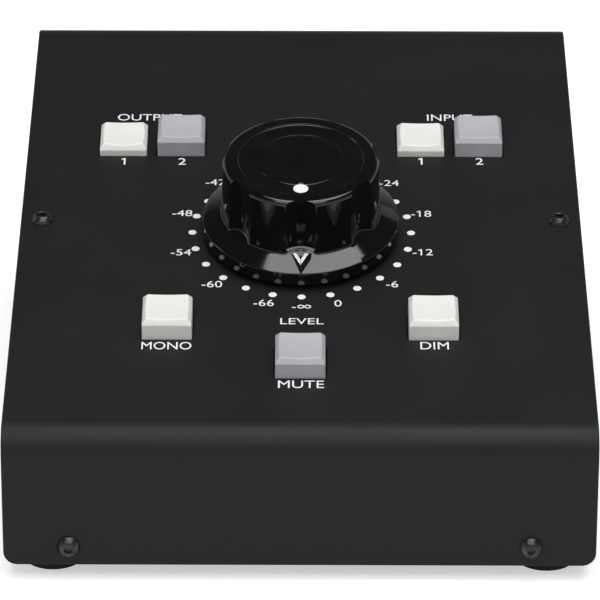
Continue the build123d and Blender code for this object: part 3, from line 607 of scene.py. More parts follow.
def end_tree(tree, geometry, material):
    """Close a tree: instances made real, and one material on the result."""
    real = add(tree, "GeometryNodeRealizeInstances", inputs={0: geometry})
    dressed = add(tree, "GeometryNodeSetMaterial", inputs={0: real.outputs[0], "Material": material})
    add(tree, "NodeGroupOutput", inputs={0: dressed.outputs[0]})
    return tree


def turned_about_z(tree, angle):
    """A turn about the z axis."""
    about = add(tree, "ShaderNodeCombineXYZ", inputs={2: angle}).outputs[0]
    return add(tree, "FunctionNodeEulerToRotation", inputs={0: about}).outputs[0]


def copied(tree, points, source, **given):
    """Copies of some geometry on points."""
    given.update({"Points": points, "Instance": source})
    return add(tree, "GeometryNodeInstanceOnPoints", inputs=given).outputs[0]


def put(tree, geometry, given):
    """Geometry in the place and with the tilt that the tree is given."""
    place = {0: geometry, "Translation": given["Place"], "Rotation": given["Tilt"]}
    return add(tree, "GeometryNodeTransform", inputs=place).outputs[0]


def grown(name, tree, mesh=None, **values):
    """An object with a tree as its modifier, evaluated into a plain mesh."""
    made = linked(name, mesh or bpy.data.meshes.new(name))
    modifier = made.modifiers.new("shape", "NODES")
    modifier.node_group = tree
    for socket in tree.interface.items_tree:
        if socket.name in values:
            modifier[socket.identifier] = values[socket.name]
    return baked(made)


def copies_tree():
    """Copies of one piece on points, each facing its own way, turned a little by chance about its axis."""
    tree, given = new_tree("copies_on_points", Piece="Object", Turn="Float", Seed="Int")
    named = {"data_type": "FLOAT_VECTOR"}, {"Name": "facing"}
    facing = add(tree, "GeometryNodeInputNamedAttribute", *named).outputs[0]
    aligned = add(tree, "FunctionNodeAlignRotationToVector", {"axis": "Z"}, {"Vector": facing}).outputs[0]
    lowest = calculated(tree, "MULTIPLY", given["Turn"], -1.0)
    chance = add(
        tree, "FunctionNodeRandomValue", {"data_type": "FLOAT"},
        {2: lowest, 3: given["Turn"], "Seed": given["Seed"]},
    )
    spin = turned_about_z(tree, chance.outputs[1])
    turned = add(tree, "FunctionNodeRotateRotation", {"rotation_space": "LOCAL"}, {0: aligned, 1: spin})
    source = add(tree, "GeometryNodeObjectInfo", inputs={"Object": given["Piece"]}).outputs["Geometry"]
    copies = copied(tree, given["Geometry"], source, Rotation=turned.outputs[0])
    return end_tree(tree, copies, given["Material"])


def sectors_tree():
    """One sector copied round the z axis, welded into a ring, cut by another object and put in its place."""
    tree, given = new_tree(
        "sectors_round_axis", Sectors="Int", Weld="Float", Cutters="Object", Place="Vector", Tilt="Vector"
    )
    line = add(tree, "GeometryNodeMeshLine", inputs={"Count": given["Sectors"], "Offset": (0, 0, 0)})
    index = add(tree, "GeometryNodeInputIndex").outputs[0]
    share = calculated(tree, "DIVIDE", index, given["Sectors"])
    spin = turned_about_z(tree, calculated(tree, "MULTIPLY", share, math.tau))
    copies = copied(tree, line.outputs[0], given["Geometry"], Rotation=spin)
    real = add(tree, "GeometryNodeRealizeInstances", inputs={0: copies}).outputs[0]
    welded = add(tree, "GeometryNodeMergeByDistance", inputs={0: real, "Distance": given["Weld"]})
    cutters = add(tree, "GeometryNodeObjectInfo", inputs={"Object": given["Cutters"]})
    cut = add(
        tree, "GeometryNodeMeshBoolean", {"operation": "DIFFERENCE", "solver": "EXACT"},
        {"Mesh 1": welded.outputs[0], "Mesh 2": cutters.outputs["Geometry"]},
    )
    return end_tree(tree, put(tree, cut.outputs[0], given), given["Material"])


def dots_tree():
    """A circle of round printed dots, put in its place on a panel."""
    tree, given = new_tree(
        "dots_on_circle", Dots="Int", Circle="Float", Diameter="Float", Depth="Float", Place="Vector",
        Tilt="Vector",
    )
    circle = {"Vertices": given["Dots"], "Radius": given["Circle"]}
    ring = add(tree, "GeometryNodeMeshCircle", inputs=circle).outputs[0]
    radius = calculated(tree, "MULTIPLY", given["Diameter"], 0.5)
    cylinder = {"Vertices": 32, "Radius": radius, "Depth": given["Depth"]}
    dot = add(tree, "GeometryNodeMeshCylinder", inputs=cylinder).outputs[0]
    return end_tree(tree, put(tree, copied(tree, ring, dot), given), given["Material"])


def on_points(name, rings, spots, material, turn=0.0, seed=1):
    """Copies of a closed piece at (place, direction) spots, as one plain mesh."""
    source = piece(f"{name}_source", rings, WORLD_MM, material)
    mesh = bpy.data.meshes.new(name)
    mesh.from_pydata([place for place, _ in spots], [], [])
    facing = mesh.attributes.new("facing", "FLOAT_VECTOR", "POINT")
    for n, (_, direction) in enumerate(spots):
        facing.data[n].vector = direction
    made = grown(name, copies_tree(), mesh, Piece=source, Turn=turn, Seed=seed, Material=material)
    discard(source)
    return made


# ------------------------------------------------------------------ case: screws and feet
def hexagon_ring(size, height, columns):
    """A ring of columns on a hexagon of a width across flats."""
    ring = []
    for n in range(columns):
        angle = math.tau * n / columns
        radius = size / 2 / math.cos((angle + math.pi / 6) % (math.pi / 3) - math.pi / 6)
        ring.append((radius * math.cos(angle), radius * math.sin(angle), height))
    return ring


def screw_rings(sizes, columns=48):
    """A button-head screw standing on z = 0: hexagon socket, domed head and threaded shank."""
    top, rim, socket = sizes.head_height, sizes.head_diameter / 2, sizes.socket_size
    # the socket's depth, the drill's point under it and the bevel at its mouth
    depth, point, mouth = 1.0, 0.15, 0.14
    rings = [
        [(0.0, 0.0, top - depth - point)],
        hexagon_ring(socket, top - depth, columns),
        hexagon_ring(socket, top - mouth, columns),
    ]
    # the dome is an arc from the flat round the socket down to a low upright rim
    flat, step, edge = 0.72 * socket, 0.3, 0.05
    outer, rise = rim - edge, top - step
    centre = (outer**2 - flat**2 - rise**2) / (2 * rise)
    radius = math.hypot(outer, centre)
    profile = [(0.64 * socket, top)]
    for n in range(13):
        across = flat + (outer - flat) * math.sin(n / 12 * math.pi / 2)
        profile.append((across, step + math.sqrt(max(radius**2 - across**2, 0.0)) - centre))
    profile += [(rim, 0.2), (rim, edge), (outer, 0.0)]
    pitch, crest = sizes.thread_pitch, sizes.thread_diameter / 2
    # a metric thread is 0.61 of its pitch deep
    root = crest - 0.61 * pitch
    profile.append((crest, 0.0))
    for n in range(int(sizes.screw_length / pitch)):
        profile += [(crest, -pitch * (n + 0.25)), (root, -pitch * (n + 0.6))]
    profile += [(root, -sizes.screw_length), (0, -sizes.screw_length)]
    return rings + turned_rings(profile, columns)


def foot_rings(sizes, columns=64):
    """A moulded rubber foot below z = 0: a shallow waist under its flange and a recess for its screw."""
    high = FOOT_HIGH.z - FOOT_LOW.z
    wide, tip = sizes.foot_width / 2, sizes.foot_tip / 2
    hole, recess = sizes.foot_hole / 2, sizes.foot_recess / 2
    roof = sizes.foot_recess_depth - high
    flange, step, draft, waist, edge = 0.9, 0.15, 0.12, 0.26, 0.1
    outline = [
        (hole, 0.0), (wide, 0.0, 0.25), (wide - draft, -flange, edge),
        (wide - waist, -flange - step, edge), (tip, -high, 0.5), (recess, -high, 0.3),
        (recess, roof, 0.0), (hole, roof),
    ]
    return turned_rings(rounded(outline) + [Vector((hole, 0.0))], columns)


def point_spots(places, direction, along=WORLD_MM):
    """Spots in metres from places in millimetres, all facing one direction."""
    facing = (along.to_3x3() @ Vector(direction)).normalized()
    return [(along @ Vector(place), facing) for place in places]


# ------------------------------------------------------------------ knob
def grip_outline(sizes, flute=12, lip=8, land=6):
    """One sector of the grip's outline, centred on a flute: points with their outward normals."""
    radius = sizes.base_diameter / 2
    hollow = sizes.flute_radius
    roll = sizes.lip_radius
    reach = radius + hollow - sizes.flute_depth
    inner = radius - roll
    turn = math.acos((inner**2 + reach**2 - (hollow + roll) ** 2) / (2 * inner * reach))
    lip_middle = Vector((inner * math.cos(turn), inner * math.sin(turn)))
    flute_middle = Vector((reach, 0))
    meet = (lip_middle - flute_middle).normalized()
    spread = math.atan2(meet.y, -meet.x)
    half = []
    for n in range(flute + 1):
        angle = spread * n / flute
        normal = Vector((math.cos(angle), -math.sin(angle)))
        half.append((flute_middle - hollow * normal, normal))
    for n in range(1, lip + 1):
        angle = -spread + (turn + spread) * n / lip
        normal = Vector((math.cos(angle), math.sin(angle)))
        half.append((lip_middle + roll * normal, normal))
    for n in range(1, land + 1):
        angle = turn + (math.pi / sizes.flutes - turn) * n / land
        normal = Vector((math.cos(angle), math.sin(angle)))
        half.append((radius * normal, normal))
    mirrored = [(Vector((p.x, -p.y)), Vector((n.x, -n.y))) for p, n in reversed(half[1:])]
    # the first flute faces the user
    return [(Vector((p.y, -p.x)), Vector((n.y, -n.x))) for p, n in mirrored + half]


def sunk_top(sizes):
    """Height of the knob's sunk top."""
    return KNOB_HIGH.z - sizes.ring_depth


def cone_height(sizes, radius):
    """Height of the skirt's cone at a radius."""
    return sizes.rim_top + (KNOB_HIGH.x - radius) * math.tan(sizes.cone_angle)


def edge_ring(sizes, outline, share):
    """A ring over the grip's round top edge, which ends where a flute is as deep as the edge runs in."""
    ring = []
    for point, _ in outline:
        depth = (sizes.base_diameter / 2 - point.length) * sizes.flute_top_depth / sizes.flute_depth
        angle = share * math.asin(min(1 - depth / sizes.edge_radius, 1.0))
        radius = sizes.top_diameter / 2 - sizes.edge_radius * (1 - math.sin(angle))
        height = KNOB_HIGH.z - sizes.edge_radius * (1 - math.cos(angle))
        ring.append((*(point.normalized() * radius), height))
    return ring


def foot_ring(sizes, outline, share):
    """A ring over the hollow fillet between the grip's foot and the skirt's cone."""
    angle = math.pi / 2 * share
    out, over = sizes.foot_radius * (1 - math.cos(angle)), sizes.foot_radius * (1 - math.sin(angle))
    places = [point + normal * out for point, normal in outline]
    return [(*place, cone_height(sizes, place.length) + over) for place in places]


def knob_sector(sizes):
    """Rings of one sector of the knob, from the middle of its top round to the middle of its underside."""
    outline = grip_outline(sizes)
    low, top, rim = KNOB_LOW.z, KNOB_HIGH.z, KNOB_HIGH.x
    floor = sunk_top(sizes)
    seat = floor - sizes.disc_sink - sizes.disc_thickness
    pocket, ring, fillet, land = sizes.disc_diameter / 2 + 0.1, sizes.ring_diameter / 2, 0.3, 0.3
    # the cone ends short of the rim, whose edge is round
    outer = rim - 1.2

    def turned(profile):
        """Round rings from a (radius, height) profile, with their points under those of the outline."""
        return [
            [(*(point.normalized() * radius), height) for point, _ in outline]
            if radius > 1e-6 else [(0.0, 0.0, height)]
            for radius, height in profile
        ]

    def cone_ring(start, share):
        """A ring between the grip's foot and the skirt's outer edge."""
        flats = [Vector(place[:2]) for place in start]
        radii = [flat.length + (outer - flat.length) * share for flat in flats]
        return [(*(f.normalized() * r), cone_height(sizes, r)) for f, r in zip(flats, radii)]

    dished = [
        (0, seat), (pocket, seat, 0), (pocket, floor, 0.1), (ring, floor, fillet), (ring, top, 0.08),
        (ring + land, top),
    ]
    under = [
        (outer, cone_height(sizes, outer)), (rim, sizes.rim_top, sizes.rim_radius), (rim, low, 0.2),
        (sizes.skirt_hollow / 2, low, 0.1), (sizes.skirt_hollow / 2, sizes.skirt_hollow_top, 0.3),
        (sizes.hollow / 2, sizes.skirt_hollow_top, 0), (sizes.hollow / 2, sizes.hollow_top, 0),
        (sizes.boss / 2, sizes.hollow_top, 0), (sizes.boss / 2, sizes.boss_low, 0.2),
        (sizes.bush / 2, sizes.boss_low, 0), (sizes.bush / 2, sizes.hollow_top, 0),
        (0, sizes.hollow_top),
    ]
    edge = [edge_ring(sizes, outline, n / 8) for n in range(9)]
    foot = [foot_ring(sizes, outline, n / 5) for n in range(6)]
    wall = [
        [Vector(upper).lerp(Vector(lower), n / 8) for upper, lower in zip(edge[-1], foot[0])]
        for n in range(1, 8)
    ]
    cone = [cone_ring(foot[-1], n / 5) for n in range(1, 6)]
    return turned(rounded(dished, 4)) + edge + wall + foot + cone + turned(rounded(under, 4)[1:])


def floor_height(sizes, ahead):
    """Height of the sunk wedge's floor at a distance in front of the axis."""
    back = cone_height(sizes, sizes.wedge_back) - sizes.wedge_depth
    return back - (ahead - sizes.wedge_back) * math.tan(sizes.wedge_angle)


def widened(outline, distance):
    """An outline that runs counter-clockwise, moved outwards by a distance with its corners kept sharp."""
    result = []
    for before, point, after in zip(outline[-1:] + outline, outline, outline[1:] + outline[:1]):
        normals = [Vector((way.y, -way.x)).normalized() for way in (point - before, after - point)]
        total = normals[0] + normals[1]
        result.append(point + total * (distance / (1 + normals[0].dot(normals[1]))))
    return result


def wedge_rings(sizes, wall=2.0):
    """The wedge that is cut from the skirt in front of the grip: its floor, and walls that lean out."""
    half = sizes.wedge_width / 2
    outline = [Vector((0, -sizes.wedge_back - sizes.wedge_length))]
    for n in range(9):
        share = 1 - n / 4
        outline.append(Vector((half * share, -sizes.wedge_back - sizes.wedge_bow * share**2)))
    floor = [(*point, floor_height(sizes, -point.y)) for point in outline]
    roof = [(*wide, z + wall) for wide, (_, _, z) in zip(widened(outline, wall), floor)]
    middle = (0, -sizes.wedge_back - sizes.wedge_length / 3)
    low = floor_height(sizes, -middle[1])
    return [[(*middle, low)], floor, roof, [(*middle, low + wall)]]


def stroke_rings(sizes, side, proud=0.03, sunk=0.04):
    """One stroke of the pointer's mark, lying a little proud of the sunk wedge's floor."""
    outer, inner = sizes.mark_width, sizes.mark_width - sizes.mark_stroke
    back, tip = sizes.mark_back, sizes.mark_tip
    crotch = back + (tip - back) * inner / outer
    corners = ((outer, tip, proud), (inner, crotch, proud), (inner, crotch, -sunk), (outer, tip, -sunk))
    rings = []
    for n in range(11):
        ring = []
        for x, end, lift in corners:
            place = Vector((side * x, -back)).lerp(Vector((0, -end)), n / 10)
            ring.append((*place, floor_height(sizes, -place.y) + lift))
        rings.append(ring)
    first, last = [[sum((Vector(p) for p in ring), Vector()) / 4] for ring in (rings[0], rings[-1])]
    return [first] + rings + [last]


def dot_place(sizes):
    """The place of the dot in front of the knob's axis, in millimetres."""
    return Matrix.Translation((0, -sizes.dot_radius, 0))


def dot_rings(sizes, proud=0.02):
    """Rings of the white dot, which stands a little proud of the sunk top."""
    low, top, wide = sunk_top(sizes) - sizes.dot_depth, sunk_top(sizes) + proud, sizes.dot_diameter / 2
    return turned_rings(rounded([(0, top), (wide, top, 0.12), (wide, low, 0), (0, low)]), 64)


def dot_hole(sizes):
    """Rings of the hole for the dot, from its floor up into the air."""
    top = sunk_top(sizes)
    return rod_rings(sizes.dot_diameter / 2 + 0.02, top - sizes.dot_depth, top + 3, 64)


def knob_cutters(sizes):
    """What is cut from the knob: the wedge and the holes for the dot and for the set screw at the rear."""
    to_rear = Matrix.Translation((0, 0, sizes.set_screw_height)) @ Matrix.Rotation(-math.pi / 2, 4, "X")
    bore = rod_rings(sizes.set_screw / 2, 3.0, KNOB_HIGH.x + 1, 40)
    holes = (wedge_rings(sizes), moved(dot_hole(sizes), dot_place(sizes)), moved(bore, to_rear))
    return linked("cutters", meshed("cutters", [skin(rings) for rings in holes], WORLD_MM))


def knob_disc(sizes, material):
    """The round disc in the sunk top, with the dot's hole cut into its edge."""
    top = sunk_top(sizes) - sizes.disc_sink
    low, wide = top - sizes.disc_thickness, sizes.disc_diameter / 2
    flat = [(wide * share, top, 0) for share in (0.25, 0.5, 0.75, 0.88)]
    outline = [(0, top), *flat, (wide, top, 0.3), (wide, low, 0.1), (0, low)]
    disc = piece("knob_top_disc", turned_rings(rounded(outline), 160), PANEL, material)
    cutter = piece("dot_hole", dot_hole(sizes), PANEL @ dot_place(sizes), material)
    cut = disc.modifiers.new("dot_hole", "BOOLEAN")
    cut.object = cutter
    cut.solver = "EXACT"
    baked(disc)
    discard(cutter)
    return disc


# ------------------------------------------------------------------ caps
def quarter_turns(points):
    """Points of one side of a ring, followed by those of the other three sides."""
    ring = []
    for _ in range(4):
        ring += points
        points = [(-y, x, z) for x, y, z in points]
    return ring


def square_ring(half, height, radius, rise=None, side=16, corner=6):
    """A rounded square ring; rise may give half width and height along a side, from -1 to 1."""
    points = []
    reach = half - radius
    for n in range(side):
        along = 2 * n / side - 1
        out, up = rise(along) if rise else (half, height)
        points.append((along * reach, -out, up))
    for n in range(corner):
        angle = math.pi / 2 * (n / corner - 1)
        points.append((reach + radius * math.cos(angle), radius * math.sin(angle) - reach, height))
    return quarter_turns(points)


def cap_rings(sizes):
    """A square cap, raised: dished top, bevelled shoulder, straight sides and a hollow with its boss."""
    low, top = CAP_LOW.z, CAP_HIGH.z
    wide = CAP_HIGH.x
    shoulder = wide - 2 * sizes.taper
    edge = shoulder - sizes.bevel_inset
    depth = sizes.dish_depth
    curve = (2 * edge**2 + depth**2) / (2 * depth)
    corner = sizes.corner_radius

    def dish(x, y):
        """Height of the hollow top."""
        return top - depth + curve - math.sqrt(curve**2 - min(x * x + y * y, 2 * edge**2))

    def profile(along):
        """(half width, height) from the skirt's foot over shoulder and bevel onto the dish."""
        height = dish(along * edge, edge)
        inset = sizes.bevel_inset * (height - sizes.shoulder) / sizes.bevel_rise
        corners = [
            (wide, low), (shoulder, sizes.shoulder, sizes.shoulder_radius),
            (shoulder - inset, height, sizes.top_radius),
            (shoulder - inset - 2, height - 2 * edge / curve),
        ]
        return rounded(corners, 6)[:-1]

    outer = []
    for n, (half, height) in enumerate(profile(1.0)):
        outer.append(square_ring(half, height, corner, lambda along, n=n: profile(along)[n]))
    inner = []
    for share in (0.15, 0.3, 0.45, 0.6, 0.72, 0.82, 0.9, 0.96):
        inner.append([(x * share, y * share, dish(x * share, y * share)) for x, y, _ in outer[-1]])
    hollow = wide - sizes.taper - sizes.wall
    under = [
        square_ring(half, height, radius)
        for half, height, radius in (
            (hollow, low, corner), (hollow, sizes.roof, corner),
            (sizes.boss / 2, sizes.roof, 0.1), (sizes.boss / 2, sizes.boss_low, 0.1),
            (sizes.socket / 2, sizes.boss_low, 0.05), (sizes.socket / 2, sizes.roof, 0.05),
        )
    ]
    middle = [(0.0, 0.0, dish(0, 0))]
    return [middle] + inner + outer[::-1] + under + [[(0.0, 0.0, sizes.roof)]]


# ------------------------------------------------------------------ print
# the built-in font at size 1: height of its capitals, width of its figures and of its minus sign
CAPITAL = 0.682
FIGURE_STEP = 0.5
MINUS_STEP = 0.323
# the bar of its figure one has no flag: this is one, as points to the left of the bar's top
FLAG = ((0.202, 0.682), (0.07, 0.59), (0.07, 0.49), (0.202, 0.57))


def flags(text):
    """Points and faces of the flags that the figures one of a number want."""
    points, faces = [], []
    for n, letter in enumerate(text):
        if letter == "1":
            start = text[:n].count("-") * MINUS_STEP + (n - text[:n].count("-")) * FIGURE_STEP
            first = len(points)
            points += [Vector((start + x, y, z)) for z in (-0.5, 0.5) for x, y in FLAG]
            faces += [[first + 3, first + 2, first + 1, first], [first + k for k in range(4, 8)]]
            ends = [(k, (k + 1) % 4) for k in range(4)]
            faces += [[first + k, first + m, first + m + 4, first + k + 4] for k, m in ends]
    return points, faces


def printed(text, height, x, up, sizes, width=None, start=False):
    """Print as points and faces of thin ink on the panel, centred on a place or starting at it."""
    curve = bpy.data.curves.new("words", "FONT")
    curve.body = text
    curve.size = 1.0
    curve.extrude = 0.5
    curve.resolution_u = 6
    holder = linked("words", curve)
    graph = bpy.context.evaluated_depsgraph_get()
    mesh = bpy.data.meshes.new_from_object(holder.evaluated_get(graph), depsgraph=graph)
    points = [vertex.co.copy() for vertex in mesh.vertices]
    faces = [list(polygon.vertices) for polygon in mesh.polygons]
    discard(holder)
    more_points, more_faces = flags(text)
    faces += [[n + len(points) for n in face] for face in more_faces]
    points += more_points
    scale = height / CAPITAL
    left = min(point.x for point in points)
    right = max(point.x for point in points)
    anchor = left if start else (left + right) / 2
    across = width / (right - left) if width else scale * sizes.stretch
    places = []
    for point in points:
        height = sizes.ink_depth * (point.z + 0.5)
        places.append((x + (point.x - anchor) * across, up + (point.y - CAPITAL / 2) * scale, height))
    return places, faces


# level in dB and the angle at which it stands, counted anticlockwise from the front
LEVELS = (
    ("-∞", 0), ("0", 16.6), ("-6", 45.5), ("-12", 74.6), ("-18", 105.6), ("-24", 134.8), ("-30", 163.5),
    ("-36", 196.5), ("-42", 224.8), ("-48", 254.4), ("-54", 286.0), ("-60", 315.0), ("-66", 342.7),
)
# figures at the buttons, each with its place across and up the top in millimetres
FIGURES = (("1", -46.9, 32.5), ("2", -31.4, 32.5), ("1", 31.6, 32.9), ("2", 47.2, 32.9))
# words with their place across and up the top, their width, and whether they start at their place
WORDS = (
    ("OUTPUT", -49.15, 53.5, 17.2, True), ("INPUT", 33.8, 53.7, 12.2, True),
    ("MONO", -33.3, -48.9, 12.45, False), ("DIM", 33.4, -48.6, 7.1, False),
    ("MUTE", 0.2, -64.6, 11.3, False), ("LEVEL", 0.4, -38.5, 10.9, False),
)


# ------------------------------------------------------------------ operators: one for each group of pieces
class CaseStep(bpy.types.Operator):
    """Paint the cover and the tray, and make the screws and feet."""

    bl_idname = "controller.dress_case"
    bl_label = "Case"

    def execute(self, context):
        sizes = context.scene.controller_case
        paint = powder_coat(sizes.paint)
        dress("cover", paint)
        dress("base_tray", paint)
        # black-oxide alloy steel: nearly black, with a soft bright spot on each dome
        oxide = grained(
            "screw_steel_black_oxide", colour("#5A5654"), colour("#2E2C2B"), (0.24, 0.36), 1.5, 0.12, 0.004,
            Metallic=0.85,
        )
        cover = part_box("cover")
        front, rear = cover[0].y / MM, cover[1].y / MM
        spots = []
        for side in (-1, 1):
            spots += point_spots([(side * sizes.top_screw_x, sizes.top_screw_up, 0)], (0, 0, 1), PANEL)
            end = (side * sizes.end_screw_x, front, sizes.end_screw_z)
            spots += point_spots([end], (0, -1, 0))
            spots += point_spots([(end[0], rear, end[2])], (0, 1, 0))
        screws = on_points("button_head_screws", screw_rings(sizes), spots, oxide, math.pi, 5)
        settle(screws, "case", "black_steel", "case_screws")
        # natural-rubber compound, moulded: matt black with a faint bloom
        rubber = grained(
            "foot_rubber_moulded", colour("#242424"), colour("#141414"), (0.62, 0.82), 4, 0.25, 0.02,
            IOR=1.52,
        )
        rows = (front + sizes.foot_inset, rear - sizes.foot_inset)
        places = [(side * sizes.foot_x, y, FOOT_HIGH.z) for y in rows for side in (-1, 1)]
        feet = on_points("moulded_feet", foot_rings(sizes), point_spots(places, (0, 0, 1)), rubber)
        settle(feet, "case", "foot_rubber", "rubber_feet")
        return {"FINISHED"}


class DialStep(bpy.types.Operator):
    """Print the dial's dots and numbers and the words by the buttons."""

    bl_idname = "controller.print_dial"
    bl_label = "Print"

    def execute(self, context):
        sizes = context.scene.controller_dial
        # screen-printed epoxy ink: opaque white, a little uneven where the paint's grain shows through
        ink = grained("screen_ink_white", sizes.ink, faded(sizes.ink, 0.9), (0.42, 0.6), 2.0, 0.18, 0.006)
        dots = grown(
            "dial_dots", dots_tree(), Dots=sizes.dots, Circle=sizes.ring_radius * MM,
            Diameter=sizes.dot_diameter * MM, Depth=sizes.ink_depth * MM,
            Place=PANEL @ Vector((sizes.shift, 0, sizes.ink_depth / 2)), Tilt=PANEL.to_euler(), Material=ink,
        )
        settle(dots, "case", "marking_white")
        numbers = []
        for text, degrees in LEVELS:
            angle = math.radians(degrees)
            x, up = sizes.label_radius * math.sin(angle), -sizes.label_radius * math.cos(angle)
            numbers.append(printed(text, sizes.figure_height, x + sizes.shift, up, sizes))
        for text, x, up in FIGURES:
            numbers.append(printed(text, sizes.button_figure_height, x, up, sizes))
        settle(joined("printed_numbers", numbers, PANEL, ink), "case", "marking_white")
        words = []
        for text, x, up, width, start in WORDS:
            high = sizes.small_height if text == "LEVEL" else sizes.word_height
            words.append(printed(text, high, x, up, sizes, width, start))
        settle(joined("printed_words", words, PANEL, ink), "case", "marking_white")
        return {"FINISHED"}


class KnobStep(bpy.types.Operator):
    """Mould the level knob with its dot, disc and pointer."""

    bl_idname = "controller.mould_knob"
    bl_label = "Knob"

    def execute(self, context):
        sizes = context.scene.controller_knob
        # phenolic, compression moulded and polished: deep black, mirror-like with a slight swim
        bakelite = grained(
            "bakelite_polished_black", sizes.moulding, colour("#060607"), (0.05, 0.11), 14, 6, 0.015, IOR=1.6
        )
        cutters = knob_cutters(sizes)
        sector = meshed("sector", [skin(knob_sector(sizes), closed=False)], WORLD_MM)
        knob = grown(
            "level_knob_moulding", sectors_tree(), sector, Sectors=sizes.flutes, Weld=0.002 * MM,
            Cutters=cutters, Place=PANEL.translation, Tilt=PANEL.to_euler(), Material=bakelite,
        )
        discard(cutters)
        knob.data.shade_smooth()
        knob.data.set_sharp_from_angle(angle=math.radians(32))
        settle(evened(knob), "knob", "knob_black", "knob")
        settle(knob_disc(sizes, bakelite), "knob", "knob_black", "knob_disc")
        # acrylic inlay and stoving enamel, both plain white with a soft gloss
        white = grained(
            "inlay_acrylic_white", sizes.mark, faded(sizes.mark, 0.93), (0.25, 0.4), 2.0, 0.4, 0.003, IOR=1.49
        )
        dot = piece("knob_index_dot", dot_rings(sizes), PANEL @ dot_place(sizes), white)
        settle(dot, "knob", "marking_white", "knob_dot")
        strokes = [skin(stroke_rings(sizes, side)) for side in (-1, 1)]
        mark = joined("knob_pointer_mark", strokes, PANEL, white)
        settle(mark, "knob", "marking_white")
        return {"FINISHED"}


class CapStep(bpy.types.Operator):
    """Mould the seven caps, each in the place and colour of its own button."""

    bl_idname = "controller.mould_caps"
    bl_label = "Caps"

    def execute(self, context):
        sizes = context.scene.controller_caps
        # ABS, injection moulded in a finely spark-eroded mould: even colour and a soft sheen; light
        # spreads about 1.5 mm in the white one
        finish = (0.36, 0.48), 5, 0.14, 0.004
        spread = {
            "Subsurface Weight": 0.6, "Subsurface Radius": (1.0, 1.0, 0.95), "Subsurface Scale": 1.5 * MM,
        }
        white = grained(
            "abs_white_moulded", sizes.white, faded(sizes.white, 0.96), *finish, IOR=1.53, **spread
        )
        grey = grained("abs_grey_moulded", sizes.grey, faded(sizes.grey, 0.93), *finish, IOR=1.53)
        rings = cap_rings(sizes)
        for name in BUTTONS:
            low, high = extent(f"cap_{name}", PANEL)
            middle = (low + high) / 2
            place = PANEL @ Matrix.Translation((middle.x, middle.y, high.z - CAP_HIGH.z))
            pale = name in WHITE_BUTTONS
            cap = piece(f"moulded_cap_{name}", rings, place, white if pale else grey, 40)
            settle(cap, f"button_{name}", "cap_white" if pale else "cap_grey", f"cap_{name}")
        return {"FINISHED"}


class RearStep(bpy.types.Operator):
    """Make the rear jacks' nuts, washers and threaded noses."""

    bl_idname = "controller.dress_rear"
    bl_label = "Rear jacks"

    def execute(self, context):
        sizes = context.scene.controller_rear
        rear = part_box("cover")[1].y / MM
        # the nose is plated from within the wall outwards
        plate, wall = threaded("jack_nose_nickel_on_brass", "Y"), 1.4
        nylon = grained(
            "jack_body_black_nylon", colour("#1C1C1E"), colour("#121213"), (0.38, 0.55), 6, 0.3, 0.01,
            IOR=1.53,
        )
        jacks = dressed_copy(
            "plug_jacks", "jack_bodies", [nylon, plate], lambda middle: int(middle.y > rear - wall)
        )
        settle(jacks, "case", "jack_plastic", "jack_bodies")
        bright = grained(
            "nut_nickel_plate", colour("#CFCBC3"), colour("#B3AFA7"), (0.16, 0.32), 3, 0.2, 0.004,
            Metallic=1.0,
        )
        middle = (sizes.jacks - 1) / 2
        places = [((n - middle) * sizes.pitch, rear, sizes.height) for n in range(sizes.jacks)]
        spots = point_spots(places, (0, 1, 0))
        low, high = sizes.washer_height, sizes.washer_height + sizes.nut_height
        bore, flat = sizes.bore / 2, sizes.nut_size / 2
        columns = 72
        # the nut's corners are turned off at 30 degrees
        crown, chamfer, fall = flat - 0.15, 0.3, math.tan(math.radians(30))
        upper = [
            (x, y, high - max(0.0, math.hypot(x, y) - crown) * fall)
            for x, y, _ in hexagon_ring(sizes.nut_size, high, columns)
        ]
        inside = [(bore, low), (bore, high - chamfer), (bore + chamfer, high), (crown, high)]
        lower = [(x, y, low + high - z) for x, y, z in upper]
        rings = turned_rings(inside, columns) + [upper, lower]
        rings += turned_rings([(crown, low), (bore, low)], columns)
        nuts = on_points("jack_hexagon_nuts", rings, spots, bright)
        settle(nuts, "case", "nickelled_brass", "jack_nuts")
        wide = sizes.washer_diameter / 2
        outline = [(bore, 0), (bore, low, 0.08), (wide, low, 0.12), (wide, 0, 0.05), (bore, 0)]
        rings = turned_rings(rounded(outline), columns)
        washers = on_points("jack_washers_plated", rings, spots, bright)
        settle(washers, "case", "nickelled_brass", "jack_washers")
        return {"FINISHED"}


METAL = {"Metallic": 1.0}
PLASTIC = {"IOR": 1.53}
